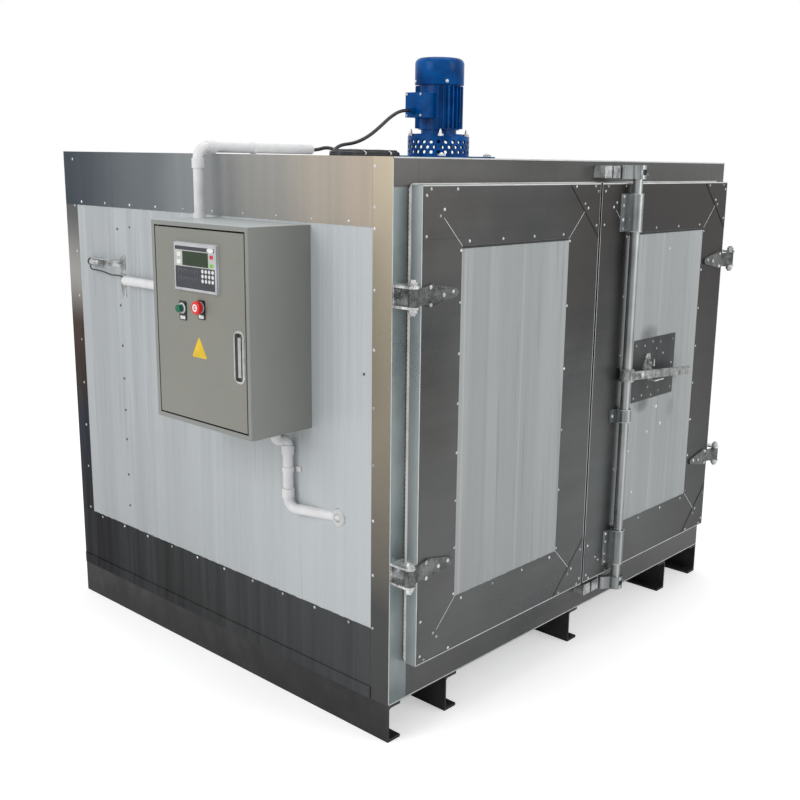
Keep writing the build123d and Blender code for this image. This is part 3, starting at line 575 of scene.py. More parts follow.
def tube_zinc(name, tone):
    """Drawn tube: long streaks run up the rod, a painted highlight stripe left of its axis and painted
    shade on its right.
    """
    look = Finish(name, (tone,) * 3, 0.3, 0.8)
    streaks, clouds = look.noise(1.0, 4.0, (90, 90, 1.6)), look.noise(9, 3.0)
    level = look.range(streaks * 0.6 + clouds * 0.4, 0.35, 0.65)
    color = look.mix(level, (tone * 0.5, tone * 0.55, tone * 0.56), (tone * 1.25, tone * 1.3, tone * 1.3))
    x = look.axes()[0]
    # painted highlight down the left of the tube and painted shade on its right
    painted_highlight_stripe = look.range((x - (ROD_X - 0.007)).math("ABSOLUTE"), 0.001, 0.006, 1, 0)
    painted_shade_side = look.range(x, ROD_X + 0.001, ROD_X + 0.016)
    color = look.mix(painted_shade_side * 0.55, color, (0.05, 0.055, 0.056))
    look.set(Base_Color=look.mix(painted_highlight_stripe * 0.6, color, (0.72, 0.75, 0.74)),
             Roughness=look.range(clouds, 0.3, 0.7, 0.24, 0.42))
    look.bump(streaks, 0.08, 0.0004)
    return look


cast_zinc = casting("cast_zinc", 0.66, 0.26)
cam_zinc = casting("cam_zinc", 0.55, 0.3, 0.8)
bearing_zinc = tube_zinc("bearing_zinc", 0.30)
rod_zinc = tube_zinc("rod_zinc", 0.34)
lever_zinc = casting("lever_zinc", 0.34, 0.4)
strap_zinc = casting("strap_zinc", 0.15, 0.26, 0.85)
rivet_zinc = casting("rivet_zinc", 0.56, 0.25, 0.5)
dark_rivet = casting("dark_rivet", 0.10, 0.5, 0.3)
print("castings ready")

# %% Black channels
foot_paint = Finish("foot_paint", (0.012, 0.012, 0.014), 0.42)
drips = foot_paint.noise(1.0, 4.0, (12, 12, 3))
dust = foot_paint.range(foot_paint.noise(6, 6.0, rough=0.7), 0.45, 0.75) * 0.5
foot_paint.set(Base_Color=foot_paint.mix(dust, (0.010, 0.010, 0.012), (0.055, 0.053, 0.05)),
               Roughness=foot_paint.range(drips, 0.3, 0.7, 0.34, 0.6))
foot_paint.bump(drips * 0.5 + foot_paint.noise(90, 3.0) * 0.5, 0.3, 0.0012)

# %% Powder coat of the control box
def powder_coat(name, tone):
    """Even coat with fine orange peel, a few scuffs and a paler, bluish top."""
    look = Finish(name, tone, 0.42, 0.0, Coat_Roughness=0.3)
    scuffs = look.range(look.noise(5, 6.0, rough=0.65), 0.5, 0.8)
    fade = look.noise(1.2, 2.0)
    color = look.mix(look.range(fade, 0.3, 0.7), toned(tone, 0.86), toned(tone, 1.07))
    color = look.mix(scuffs * 0.35, color, toned(tone, 0.78))
    # the box's top face is paler and bluish
    pale_top = look.axes()[2] > 1.5232
    look.set(Base_Color=look.mix(pale_top * 0.8, color, (0.50, 0.54, 0.55)),
             Roughness=look.range(fade, 0.3, 0.7, 0.36, 0.5))
    look.bump(look.noise(420, 2.0), 0.12, 0.0004)
    return look


box_coat = powder_coat("box_coat", (0.250, 0.262, 0.245))
box_door_coat = powder_coat("box_door_coat", (0.235, 0.236, 0.208))

# %% Chrome, plastics and conduit
chrome = Finish("chrome", (0.72, 0.73, 0.74), 0.12, 1.0)
smear = chrome.noise(40, 4.0)
chrome.set(Roughness=chrome.range(smear, 0.35, 0.7, 0.08, 0.24),
           Base_Color=chrome.mix(chrome.range(smear, 0.4, 0.7), (0.78, 0.79, 0.80), (0.55, 0.56, 0.57)))


def plastic(name, tone, rough=0.3, grain=260, depth=0.08, vary=0.18):
    """Moulded plastic with a fine grain and slight colour drift."""
    look = Finish(name, tone, rough)
    drift, fine = look.noise(18, 3.0), look.noise(grain, 2.0)
    look.set(Base_Color=look.mix(look.range(drift, 0.3, 0.7), toned(tone, 1 - vary),
                                 toned(tone, 1 + vary * 0.5)),
             Roughness=look.range(fine, 0.3, 0.7, rough - 0.05, rough + 0.1))
    look.bump(fine, depth, 0.0003)
    return look


red_gloss = plastic("red_gloss", (0.72, 0.018, 0.014), 0.22)
green_gloss = plastic("green_gloss", (0.004, 0.14, 0.075), 0.25)
black_matte = plastic("black_matte", (0.012, 0.012, 0.013), 0.38)
silver_ring = plastic("silver_ring", (0.62, 0.64, 0.66), 0.2)
label_white = plastic("label_white", (0.78, 0.78, 0.76), 0.5)
key_white = plastic("key_white", (0.75, 0.76, 0.77), 0.4)
key_red = plastic("key_red", (0.55, 0.03, 0.05), 0.4)
key_green = plastic("key_green", (0.14, 0.55, 0.05), 0.4)
foil_dark = plastic("foil_dark", (0.035, 0.04, 0.05), 0.42)
foil_light = plastic("foil_light", (0.50, 0.51, 0.49), 0.45)
bezel_silver = plastic("bezel_silver", (0.50, 0.51, 0.53), 0.32)
lcd_green = plastic("lcd_green", (0.022, 0.046, 0.018), 0.14, 90, 0.02, 0.25)
print_grey = plastic("print_grey", (0.18, 0.19, 0.20), 0.5)
sign_yellow = plastic("sign_yellow", (0.75, 0.50, 0.012), 0.35)
conduit_white = plastic("conduit_plastic", (0.74, 0.74, 0.75), 0.3, 300, 0.05, 0.1)
rubber = plastic("cable_rubber", (0.010, 0.012, 0.016), 0.34, 400, 0.15, 0.3)
tie_white = plastic("tie_white", (0.74, 0.75, 0.75), 0.4)
sealant = plastic("sealant_white", (0.62, 0.63, 0.62), 0.35, 60, 0.5, 0.2)
# painted highlight: the pale strips along bright edges and rims
edge_highlight = plastic("painted_edge_highlight", (0.70, 0.73, 0.73), 0.3, vary=0.14)

# %% Blue enamel of the motor
enamel = Finish("blue_enamel", (0.0, 0.060, 0.26), 0.26, 0.0, Specular_IOR_Level=0.08,
                Coat_Weight=0.04, Coat_Roughness=0.08)
sags, fine = enamel.noise(14, 3.0), enamel.noise(180, 2.0)
enamel.set(Base_Color=enamel.mix(enamel.range(sags, 0.35, 0.7), (0.0, 0.042, 0.175), (0.001, 0.100, 0.37)),
           Roughness=enamel.range(fine, 0.3, 0.7, 0.18, 0.34))
enamel.bump(sags * 0.6 + fine * 0.4, 0.2, 0.0008)

# %% The probe: bright nut and sleeve, black cap
probe_look = Finish("probe_body", (0.3, 0.3, 0.3), 0.3, 0.6)
grain, back = probe_look.noise(60, 3.0), probe_look.axes()[1]
steel = probe_look.mix(probe_look.range(grain, 0.35, 0.65), (0.32, 0.33, 0.33), (0.62, 0.63, 0.62))
cap = probe_look.mix(grain, (0.012, 0.012, 0.013), (0.03, 0.03, 0.03))
probe_look.set(Base_Color=probe_look.mix(back > 0.657, steel, cap),
               Roughness=probe_look.range(grain, 0.3, 0.7, 0.2, 0.4))

# %% Braided door rope
rope_look = Finish("braided_rope", (0.75, 0.74, 0.71), 0.85)
yarn, soil = rope_look.noise(420, 4.0), rope_look.noise(9, 5.0, rough=0.65)
rope_look.set(Base_Color=rope_look.mix(rope_look.range(soil, 0.42, 0.75) * 0.8, (0.78, 0.77, 0.74),
                                       (0.40, 0.38, 0.34)))
rope_look.bump(yarn, 0.6, 0.0008)
print("materials:", len(bpy.data.materials))

# %% Finishes go on the CAD nodes
node_looks = {
    wall_skin: ("left_wall", "right_wall"), back_skin: ("back_wall",),
    roof_zinc: ("roof_panel", "floor_panel"),
    trim_front: ("front_frame",), post_side: ("corner_posts",), band_side: ("top_band",),
    bottom_zinc: ("bottom_band",), door_zinc: ("left_door_sheet", "right_door_sheet"),
    core_grey: ("left_door_core", "right_door_core"), strap_zinc: ("left_door_straps", "right_door_straps"),
    cast_zinc: ("hinge_brackets", "handle_catch"), bearing_zinc: ("rod_bearings",),
    rod_zinc: ("lock_rod",), lever_zinc: ("lock_handle",), cam_zinc: ("keepers", "probe_bracket"),
    plate_zinc: ("lock_back_plate",), box_coat: ("control_box",), box_door_coat: ("control_box_door",),
    chrome: ("pull_handle",), bezel_silver: ("display_panel",), red_gloss: ("stop_button",),
    black_matte: ("stop_legend",), probe_look: ("probe",), green_gloss: ("selector_knob",),
    conduit_white: ("upper_conduit", "lower_conduit", "probe_conduit"),
    enamel: ("motor_stand", "motor", "fan_cowl"),
    foot_paint: tuple(f"foot_channel_{i}" for i in range(1, 6)),
}
for look, names in node_looks.items():
    for name in names:
        piece = bpy.data.objects[name]
        piece.data.materials.clear()
        piece.data.materials.append(look.material)
print("nodes dressed:", sum(len(names) for names in node_looks.values()))

# %% [markdown]
# ## Rivets, nuts and screws
# Pop rivets hold every trim at about 150 mm; bolts with domed nuts hold the castings. All are
# the same job: a small head at each point, turned to the surface. A Geometry Nodes tree puts
# a head on every vertex of a mesh of points, turned along a stored direction. The head is a
# low dome, or a hexagon under a dome, with the radius and height as inputs.

# %% The fastener tree
def fastener_tree(material, hexagon, sides=14):
    tree, given = group_tree("fasteners", [("Radius", "Float"), ("Height", "Float")])
    ball = knot(tree, "GeometryNodeMeshUVSphere", Segments=sides, Rings=8, Radius=1.0)
    size = knot(tree, "ShaderNodeCombineXYZ", X=given.outputs["Radius"], Y=given.outputs["Radius"],
                Z=given.outputs["Height"])
    head = knot(tree, "GeometryNodeTransform", Geometry=ball.outputs[0], Scale=size.outputs[0])
    smooth = knot(tree, "GeometryNodeSetShadeSmooth", Geometry=head.outputs[0])
    top = smooth.outputs[0]
    wide = math_node(tree, "MULTIPLY", given.outputs["Radius"], 1.45 if hexagon else 1.25)
    thick = math_node(tree, "MULTIPLY", given.outputs["Height"], 1.1 if hexagon else 0.36)
    disc = knot(tree, "GeometryNodeMeshCylinder", Vertices=6 if hexagon else sides, Radius=wide,
                Depth=thick)
    both = knot(tree, "GeometryNodeJoinGeometry")
    for part in (top, disc.outputs[0]):
        tree.links.new(part, both.inputs[0])
    way = knot(tree, "GeometryNodeInputNamedAttribute", {"data_type": "FLOAT_VECTOR"}, Name="way")
    turned = knot(tree, "FunctionNodeAlignRotationToVector", {"axis": "Z"}, Vector=way.outputs[0])
    points = knot(tree, "GeometryNodeInstanceOnPoints", Points=given.outputs["Geometry"],
                  Instance=both.outputs[0], Rotation=turned.outputs[0])
    close_tree(tree, points.outputs[0], material)
    return tree


def fasteners(name, spots, radius, height, look, body, hexagon=False, way=None):
    """Heads at spots, each a point or a (point, direction) pair, on one body."""
    mesh = bpy.data.meshes.new(name + "_points")
    pairs = [spot if isinstance(spot, tuple) else (spot, way) for spot in spots]
    mesh.from_pydata([p for p, d in pairs], [], [])
    facing = mesh.attributes.new("way", "FLOAT_VECTOR", "POINT")
    for item, (p, d) in zip(facing.data, pairs):
        item.vector = d
    return grown(name, mesh, fastener_tree(look.material, hexagon), {"Radius": radius, "Height": height},
                 body)


def row(start, end, pitch):
    """Evenly spaced pairs of numbers from start to end, as near the pitch as fits."""
    (a, b), (c, d) = start, end
    count = max(1, round(hypot(c - a, d - b) / pitch))
    return [(a + (c - a) * i / count, b + (d - b) * i / count) for i in range(count + 1)]


# %% Rivets of the trims
rivet_r, rivet_h = 0.0037, 0.0025
side_rows = (row((67, 230), (67, 1406), 168) + [(67, 1464), (67, 1573)]
             + row((169, 1422), (1571, 1422), 150) + row((1625, 240), (1618, 1573), 167)
             + row((170, 218), (1540, 218), 150))
side_spots = [(at(0, y, z), OUT_LEFT) for y, z in side_rows]
side_spots += [(at(WIDE, y, z), OUT_RIGHT) for y, z in side_rows]
back_rows = row((170, 1422), (1730, 1422), 150) + row((170, 218), (1730, 218), 150)
back_rows += row((68, 260), (68, 1390), 168) + row((1832, 260), (1832, 1390), 168)
side_spots += [(at(x, DEEP, z), OUT_BACK) for x, z in back_rows]
fasteners("trim_rivets", side_spots, rivet_r, rivet_h, rivet_zinc, "oven")
skin_x = 0.7
dark_rows = [(1346, z) for z in (1335, 1214, 1064, 917, 796, 678, 567, 431, 311)]
dark_rows += [(1268, 1345), (108, 995)]
fasteners("panel_rivets", [(at(skin_x, y, z), OUT_LEFT) for y, z in dark_rows], 0.0034, 0.0018,
          dark_rivet, "oven")

# %% Rivets of the doors
NEAR_CORNER = [(35, 11), (17, 28), (146, 12), (91, 67), (75, 84), (18, 138)]
FAR_CORNER = [(145, 10), (34, 10), (18, 26), (92, 64), (73, 79), (20, 136)]


def door_rivets(x0, x1, s):
    """One door's rivets: beside its edges, round the panel and along the corner plates."""
    near, far = (x0, x1) if s > 0 else (x1, x0)
    spots = row((near + s * 168, 304), (near + s * 168, 1344), 155)
    spots += row((far - s * 168, 304), (far - s * 168, 1346), 208)
    spots += row((x0 + 205, 1369), (x1 - 205, 1369), 155) + row((x0 + 205, 280), (x1 - 205, 280), 155)
    for z, up in ((DOOR_HIGH, 1), (DOOR_LOW, -1)):
        spots += [(near + s * x, z - up * y) for x, y in NEAR_CORNER]
        spots += [(far - s * x, z - up * y) for x, y in FAR_CORNER]

    def plate(x, z):
        """How thick the corner plate is under this rivet."""
        return 1.7 if min(x - x0, x1 - x) + min(z - DOOR_LOW, DOOR_HIGH - z) < 176 else 0

    return [(at(x, FACE - plate(x, z), z), OUT_FRONT) for x, z in spots]


for body, door, s in (("left_door", LEFT_DOOR, 1), ("right_door", RIGHT_DOOR, -1)):
    fasteners(body + "_rivets", door_rivets(*door, s), rivet_r, rivet_h, rivet_zinc, body)
plate_spots = [(1338, 954), (1282, 944), (1394, 947), (1484, 948), (1416, 902), (1367, 925), (1482, 857),
               (1318, 786), (1398, 762), (1483, 763), (1278, 760), (1345, 752), (1405, 811), (1222, 950),
               (1222, 756)]
fasteners("back_plate_rivets", [at(x, -50.5, z) for x, z in plate_spots], 0.0040, 0.0026, lever_zinc,
          "right_door", way=OUT_FRONT)

# %% Bolts of the lock gear and hinges
def bolts(name, spots, radius, height, look, body, way=OUT_FRONT):
    """Hexagon heads that all face one way."""
    fasteners(name, spots, radius, height, look, body, hexagon=True, way=way)


foot_bolts = [(ROD + s * 45, z) for s in (-1, 1) for z in (1481, 1452, 1404, 1374, 276, 246, 198, 169)]
bolts("bearing_bolts", [at(x, -53.5, z) for x, z in foot_bolts], 0.0048, 0.0042, cam_zinc, "right_door")
bolts("clamp_bolts", [at(ROD + s * 45, -53.5, 716) for s in (-1, 1)], 0.0055, 0.0048, cam_zinc,
      "right_door")
strap_bolts = [(95, 23), (191, 3), (96, -26), (150, -3)]
for body, mirrored in (("left_door", 1), ("right_door", -1)):
    spots = [at(x if mirrored > 0 else WIDE - x, -56, hinge + up)
             for hinge in HINGES for x, up in strap_bolts]
    bolts(body + "_strap_bolts", spots, 0.0046, 0.0042, cast_zinc, body)
bracket_bolts = [(x, hinge + up) for hinge in HINGES for x, up in ((24, 14), (22, -13), (33, 1))]
bolts("bracket_bolts", [at(x, -5, z) for x, z in bracket_bolts]
      + [at(WIDE - x, -5, z) for x, z in bracket_bolts], 0.004, 0.004, cast_zinc, "oven")
bolts("lever_pin", [at(ROD + 62, -103.2, 857)], 0.0075, 0.004, cam_zinc, "lock_gear")

# %% Bolts of the motor
motor_x, motor_y = MOTOR


def round_motor(radius, up, angles):
    """Places on a circle round the motor's shaft."""
    return [at(motor_x + radius * cos(radians(t)), motor_y + radius * sin(radians(t)), up) for t in angles]


base_nuts = [at(motor_x + 127 * a, motor_y + 127 * b, 1606) for a in (-1, 1) for b in (-1, 1)]
bolts("base_nuts", base_nuts, 0.010, 0.013, cast_zinc, "oven", UP)
corners, screws = (45, 135, 225, 315), (59, 149, 239, 329)
bolts("flange_nuts", round_motor(101, 1680, corners), 0.0075, 0.008, cast_zinc, "oven", UP)
fasteners("flange_studs", round_motor(101, 1688, corners), 0.0045, 0.014, cast_zinc, "oven", way=UP)
cowl_screws = [(spot, (cos(radians(t)), sin(radians(t)), 0))
               for spot, t in zip(round_motor(89, 1866, screws), screws)]
fasteners("cowl_screws", cowl_screws, 0.0048, 0.003, cast_zinc, "oven")
lid_screws = [at(771, motor_y + 33 * a, 1781 + 36 * b) for a in (-1, 1) for b in (-1, 1)]
fasteners("lid_screws", lid_screws, 0.0036, 0.0022, cast_zinc, "oven", way=OUT_LEFT)

# %% [markdown]
# ## Small shaped pieces
# The rest are plates, rings and folded strips, each cut from its own outline. One helper
# extrudes a polygon in any plane and rounds its edges with a narrow bevel, so that every
# edge takes a highlight; another turns a profile about a line.

# %% Plates from outlines
def keep(name, bm, look, body, smooth=False):
    """Close an edit mesh, link it, give it its look and tie it to its body."""
    bmesh.ops.recalc_face_normals(bm, faces=bm.faces)
    mesh = bpy.data.meshes.new(name)
    bm.to_mesh(mesh)
    bm.free()
    piece = bpy.data.objects.new(name, mesh)
    scene.collection.objects.link(piece)
    mesh.materials.append(look.material)
    if smooth:
        mesh.shade_smooth()
    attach(piece, body)
    return piece


def cut_plate(bm, outline, origin, right, up, thick, bevel=0.0):
    """Add a plate over a 2-D outline in metres, growing along right x up."""
    origin, right, up = Vector(origin), Vector(right), Vector(up)
    out = right.cross(up) * thick
    low = [bm.verts.new(origin + right * x + up * y) for x, y in outline]
    high = [bm.verts.new(v.co + out) for v in low]
    faces = [bm.faces.new(low[::-1]), bm.faces.new(high)]
    faces += [bm.faces.new((low[i], low[(i + 1) % len(low)], high[(i + 1) % len(low)], high[i]))
              for i in range(len(low))]
    if bevel:
        rim = [e for e in faces[1].edges] + [e for f in faces[2:] for e in f.edges if e not in
                                             faces[0].edges and e not in faces[1].edges]
        bmesh.ops.bevel(bm, geom=list(set(rim)), offset=bevel, segments=2, affect="EDGES")


def plates(name, items, look, body, bevel=0.0):
    """One piece made of several plates: (outline, origin, right, up, thickness)."""
    bm = bmesh.new()
    for item in items:
        cut_plate(bm, *item, bevel=bevel)
    return keep(name, bm, look, body)


def oblong(w, h, r=0.0, parts=5):
    """Rectangle about the origin with rounded corners."""
    if not r:
        return [(-w / 2, -h / 2), (w / 2, -h / 2), (w / 2, h / 2), (-w / 2, h / 2)]
    points = []
    for k, (sx, sy) in enumerate(((1, 1), (-1, 1), (-1, -1), (1, -1))):
        cx, cy = sx * (w / 2 - r), sy * (h / 2 - r)
        points += [(cx + r * cos(pi / 2 * (k + i / parts)), cy + r * sin(pi / 2 * (k + i / parts)))
                   for i in range(parts + 1)]
    return points


def disc(r, parts=28):
    return [(r * cos(2 * pi * i / parts), r * sin(2 * pi * i / parts)) for i in range(parts)]


def ring_mesh(bm, centre, axis, profile, parts=32):
    """Turn a closed profile of (radius, along) pairs about an axis."""
    axis = Vector(axis).normalized()
    side = axis.orthogonal().normalized()
    other = axis.cross(side)
    rings = []
    for i in range(parts):
        way = side * cos(2 * pi * i / parts) + other * sin(2 * pi * i / parts)
        rings.append([bm.verts.new(Vector(centre) + way * r + axis * a) for r, a in profile])
    for i in range(parts):
        here, there = rings[i], rings[(i + 1) % parts]
        for j in range(len(profile)):
            k = (j + 1) % len(profile)
            bm.faces.new((here[j], there[j], there[k], here[k]))


def rings(name, items, look, body, slot, parts=32):
    """One piece of turned rings: (centre, axis, profile)."""
    bm = bmesh.new()
    for centre, axis, profile in items:
        ring_mesh(bm, centre, axis, profile, parts)
    return keep(name, bm, look, body, True)


def band(inner, outer, length, round_off=0.0008):
    """Profile of a ring with softened outer corners."""
    return [(inner, 0), (outer - round_off, 0), (outer, round_off), (outer, length - round_off),
            (outer - round_off, length), (inner, length)]


# %% [markdown]
# ## Door details
# Each door frame is mitred at the corners, and a triangular plate covers the outer half of
# each mitre. Painted highlights run along the lip of each door's rim, its mitre lines and the
# edges of the trims: thin pale strips, proud by a hair, draw those bright lines. A dark strip
# along the top of each door panel is painted shadow under the frame, and a beige strip beside
# the lock rod is a painted reflection.

# %% Painted highlights along edges and mitre lines
def strip(x0, z0, x1, z1, wide, y=FACE, thick=0.0004):
    """A narrow strip on the front between two measured places."""
    a, b = at(x0, y, z0), at(x1, y, z1)
    run = (b - a).normalized()
    across = Vector((run.z, 0, -run.x))
    length = (b - a).length
    outline = [(0, -wide / 2000), (length, -wide / 2000), (length, wide / 2000), (0, wide / 2000)]
    return (outline, a, run, -across, thick)


def front_strips(name, body, lines, look=edge_highlight):
    return plates(name, [strip(*line) for line in lines], look, body)


# painted highlights along the doors' rims, mitre lines and the header's edges
front_strips("left_door_edge_highlights", "left_door", [(64, 1525, 936, 1525, 4), (64, 125, 936, 125, 2.4),
             (64, 127, 64, 1523, 2.6), (936, 127, 936, 1523, 1.6), (151, 1440, 236, 1355, 1.6),
             (151, 210, 236, 295, 1.6), (766, 1356, 850, 1440, 1.6), (766, 295, 850, 210, 1.6)])
front_strips("right_door_edge_highlights", "right_door", [(948, 1525, 1836, 1525, 4), (948, 125, 1836, 125, 2.4),
             (948, 127, 948, 1523, 1.6), (1836, 127, 1836, 1523, 2.2), (1034, 1440, 1110, 1364, 1.2),
             (1750, 1440, 1668, 1358, 1.6), (1750, 210, 1668, 292, 1.6)])
front_strips("header_edge_highlights", "oven", [(3, 1598, 1897, 1598, 4, 0), (3, 3, 1897, 3, 2.4, 0),
             (1.2, 6, 1.2, 1594, 2.4, 0)])
# dark strips: real seams, and a painted shadow along the top of each door panel
seam_and_shadow_black = plastic("seam_and_shadow_black", (0.02, 0.021, 0.022), 0.6)
front_strips("left_door_seams", "left_door", [(66, 1380, 237, 1380, 0.9)], seam_and_shadow_black)


def corner_plates(name, x0, x1, body, leg=172):
    """The triangular plates over the corners of a door, each growing towards the front."""
    items = []
    for x, sx in ((x0 + 4, 1), (x1 - 4, -1)):
        for z, sz in ((127, 1), (1523, -1)):
            outline = [(0, 0), (leg / 1000, 0), (0, leg / 1000)][::sx * sz]
            outline = [(sx * a, sz * b) for a, b in outline]
            items.append((outline, at(x, FACE, z), (1, 0, 0), UP, 0.0017))
    return plates(name, items, door_zinc, body, 0.0005)


corner_plates("left_door_corners", *LEFT_DOOR, "left_door")
corner_plates("right_door_corners", *RIGHT_DOOR, "right_door")
# painted shadow: a dark strip along the top of each door panel, under the frame
front_strips("left_door_shadow_line", "left_door", [(236, 1352, 764, 1352, 7, FACE + 0.35)], seam_and_shadow_black)
front_strips("right_door_shadow_line", "right_door", [(1120, 1352, 1664, 1352, 7, FACE + 0.35)], seam_and_shadow_black)
# painted reflection: a beige strip on the right door beside the lock rod
rod_side_reflection = plastic("painted_rod_side_reflection", (0.50, 0.47, 0.38), 0.4)
front_strips("right_door_rod_side_reflection", "right_door", [(1094, 300, 1094, 1350, 9, FACE + 1)], rod_side_reflection)
dabs = [(1395, 700), (1335, 612), (1432, 628), (1210, 560), (1476, 905), (1420, 1290), (1250, 395)]
fasteners("right_door_dabs", [at(x, -48.6, z) for x, z in dabs], 0.0055, 0.0016, label_white, "right_door",
          way=OUT_FRONT)
front_strips("header_seams", "oven", [(968, 1540, 968, 1588, 1.4, 0), (1092, 1540, 1092, 1597, 1.4, 0)],
             seam_and_shadow_black)

# %% [markdown]
# ## Door rope
# A white braided rope sits in the gap behind the doors. The braid shows as a line of slanted
# bulges. Its path is the rounded rectangle of the seal, and Geometry Nodes sweep a round
# section along it and push the surface in and out in two crossing spirals.

# %% Rope by Geometry Nodes
def rope_tree(material):
    tree, given = group_tree("braid", [("Radius", "Float"), ("Strand", "Float"), ("Bulge", "Float")])
    curve = knot(tree, "GeometryNodeMeshToCurve", Mesh=given.outputs["Geometry"])
    fine = knot(tree, "GeometryNodeResampleCurve", Curve=curve.outputs[0], Count=2400)
    along = knot(tree, "GeometryNodeSplineParameter").outputs["Length"]
    part = tree.nodes.new("GeometryNodeInputPosition").outputs[0]
    circle = knot(tree, "GeometryNodeCurvePrimitiveCircle", Resolution=9, Radius=given.outputs["Radius"])
    kept = knot(tree, "GeometryNodeCaptureAttribute", Geometry=fine.outputs[0])
    kept.capture_items.new("FLOAT", "along")
    tree.links.new(along, kept.inputs["along"])
    ringed = knot(tree, "GeometryNodeCaptureAttribute", Geometry=circle.outputs[0])
    ringed.capture_items.new("VECTOR", "ring")
    tree.links.new(part, ringed.inputs["ring"])
    tube = knot(tree, "GeometryNodeCurveToMesh", Curve=kept.outputs[0], Profile_Curve=ringed.outputs[0])
    spread = knot(tree, "ShaderNodeSeparateXYZ", Vector=ringed.outputs["ring"])
    angle = math_node(tree, "ARCTAN2", spread.outputs[1], spread.outputs[0])
    turns = math_node(tree, "DIVIDE", kept.outputs["along"], given.outputs["Strand"])
    waves = []
    for sense in (1.0, -1.0):
        phase = math_node(tree, "ADD", math_node(tree, "MULTIPLY", turns, sense * 2 * pi),
                          math_node(tree, "MULTIPLY", angle, 2.0))
        waves.append(math_node(tree, "SINE", phase))
    lift = math_node(tree, "MULTIPLY", math_node(tree, "MAXIMUM", *waves), given.outputs["Bulge"])
    normal = knot(tree, "GeometryNodeInputNormal").outputs[0]
    push = knot(tree, "ShaderNodeVectorMath", {"operation": "SCALE"}, _0=normal, Scale=lift).outputs[0]
    moved = knot(tree, "GeometryNodeSetPosition", Geometry=tube.outputs[0], Offset=push)
    smooth = knot(tree, "GeometryNodeSetShadeSmooth", Geometry=moved.outputs[0])
    close_tree(tree, smooth.outputs[0], material)
    return tree


rope_path = bpy.data.meshes.new("rope_path")
corner_points = oblong((1838 - 62 - 5) / 1000, (1527 - 123 - 5) / 1000, 0.012, 6)
middle = at(950, -5.8, 825)
rope_path.from_pydata([middle + Vector((x, 0, z)) for x, z in corner_points],
                      [(i, (i + 1) % len(corner_points)) for i in range(len(corner_points))], [])
rope = grown("door_rope", rope_path, rope_tree(rope_look.material),
             {"Radius": 0.0052, "Strand": 0.014, "Bulge": 0.0007}, "oven")
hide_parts("door_seal")

# %% [markdown]
# ## Control box
# The box's front carries an operator panel, a selector, a stop button, a plain yellow label and a
# chrome pull. Prints and labels are left bare: the panel's keys are blank and its badge is a
# plain oval. Everything is a thin plate or ring on the door, placed by how far back and how
# high it sits. The rims of the rod's bearings and the motor's cowl use the same ring helper.

# %% Operator panel
BOX_FACE = -228


def on_box(back, up, lift=0.0):
    """A point on the box's front: measured back and up, and lifted off it."""
    return at(BOX_FACE - lift, back, up)


def label(y0, y1, z0, z1, lift, thick=0.35, r=0.0):
    """A thin plate on the box between two depths and two heights."""
    return (oblong(abs(y1 - y0) / 1000, abs(z1 - z0) / 1000, r / 1000),
            on_box((y0 + y1) / 2, (z0 + z1) / 2, lift), OUT_FRONT, UP, thick / 1000)


PANEL, FOIL = 8, 8.3


def on_panel(name, boxes, look, lift=FOIL, thick=0.35, r=0.0, bevel=0.0):
    """Thin plates on the operator panel, each between two depths and two heights."""
    return plates(name, [label(*box, lift, thick, r) for box in boxes], look, "box_door", bevel)


on_panel("panel_frame", [(463, 665, 1335.1, 1345), (463, 665, 1206, 1213), (463, 470.4, 1213, 1335.1),
         (659.7, 665, 1213, 1335.1)], bezel_silver, PANEL, 1, bevel=0.0003)
on_panel("panel_dark", [(470.4, 659.7, 1324.2, 1335.1), (470.4, 659.7, 1213, 1276.5)], foil_dark, PANEL)
on_panel("panel_light", [(470.4, 659.7, 1276.5, 1324.2)], foil_light, PANEL)
on_panel("panel_screen", [(501.3, 624.6, 1280.5, 1320.2)], lcd_green, thick=0.5, r=2)
on_panel("panel_screen_edge", [(500.2, 625.7, z, z + 1.2) for z in (1279.5, 1320)], black_matte, thick=0.7)
plates("panel_badge", [([(x * 1.9, y * 0.75) for x, y in disc(0.0085)], on_box(490.6, 1329.6, FOIL),
       OUT_FRONT, UP, 0.0003)], label_white, "box_door")
keys = [(disc(0.0056, 16), on_box(529 - 16 * c, 1267.5 - 14 * r, FOIL), OUT_FRONT, UP, 0.0008)
        for r in range(3) for c in range(4)]
plates("panel_keys", keys, key_white, "box_door", 0.0003)
blanks = [(y + a, y + b, z + c, z + d) for z in (1262.5, 1239.5) for y in (638, 612, 586, 560)
          for a, b, c, d in ((-8, 8, 4.4, 5.2), (-8, -7, -4, 5), (7, 8, -4, 5))]
on_panel("panel_blanks", blanks, print_grey)
on_panel("panel_red_key", [(477.9, 493.8, 1305.3, 1316.2)], key_red, thick=0.6, r=2)
on_panel("panel_green_key", [(477.9, 493.8, 1281.5, 1291.4)], key_green, thick=0.6, r=2)
on_panel("panel_side_keys", [(634, 651, z, z + 12) for z in (1282.5, 1304.5)], label_white, thick=0.5,
         r=2, bevel=0.0002)

# %% Painted highlight rings on the rims of the rod's bearings
rim_highlights = [(at(ROD, -77, z), UP, [(0.0226, 0), (0.0238, 0), (0.0238, 0.0016), (0.0226, 0.0016)])
        for z in (1490, 1363.6, 737.6, 692.6, 285, 158.6)]
rings("bearing_rim_highlights", rim_highlights, edge_highlight, "right_door", "zinc", 40)

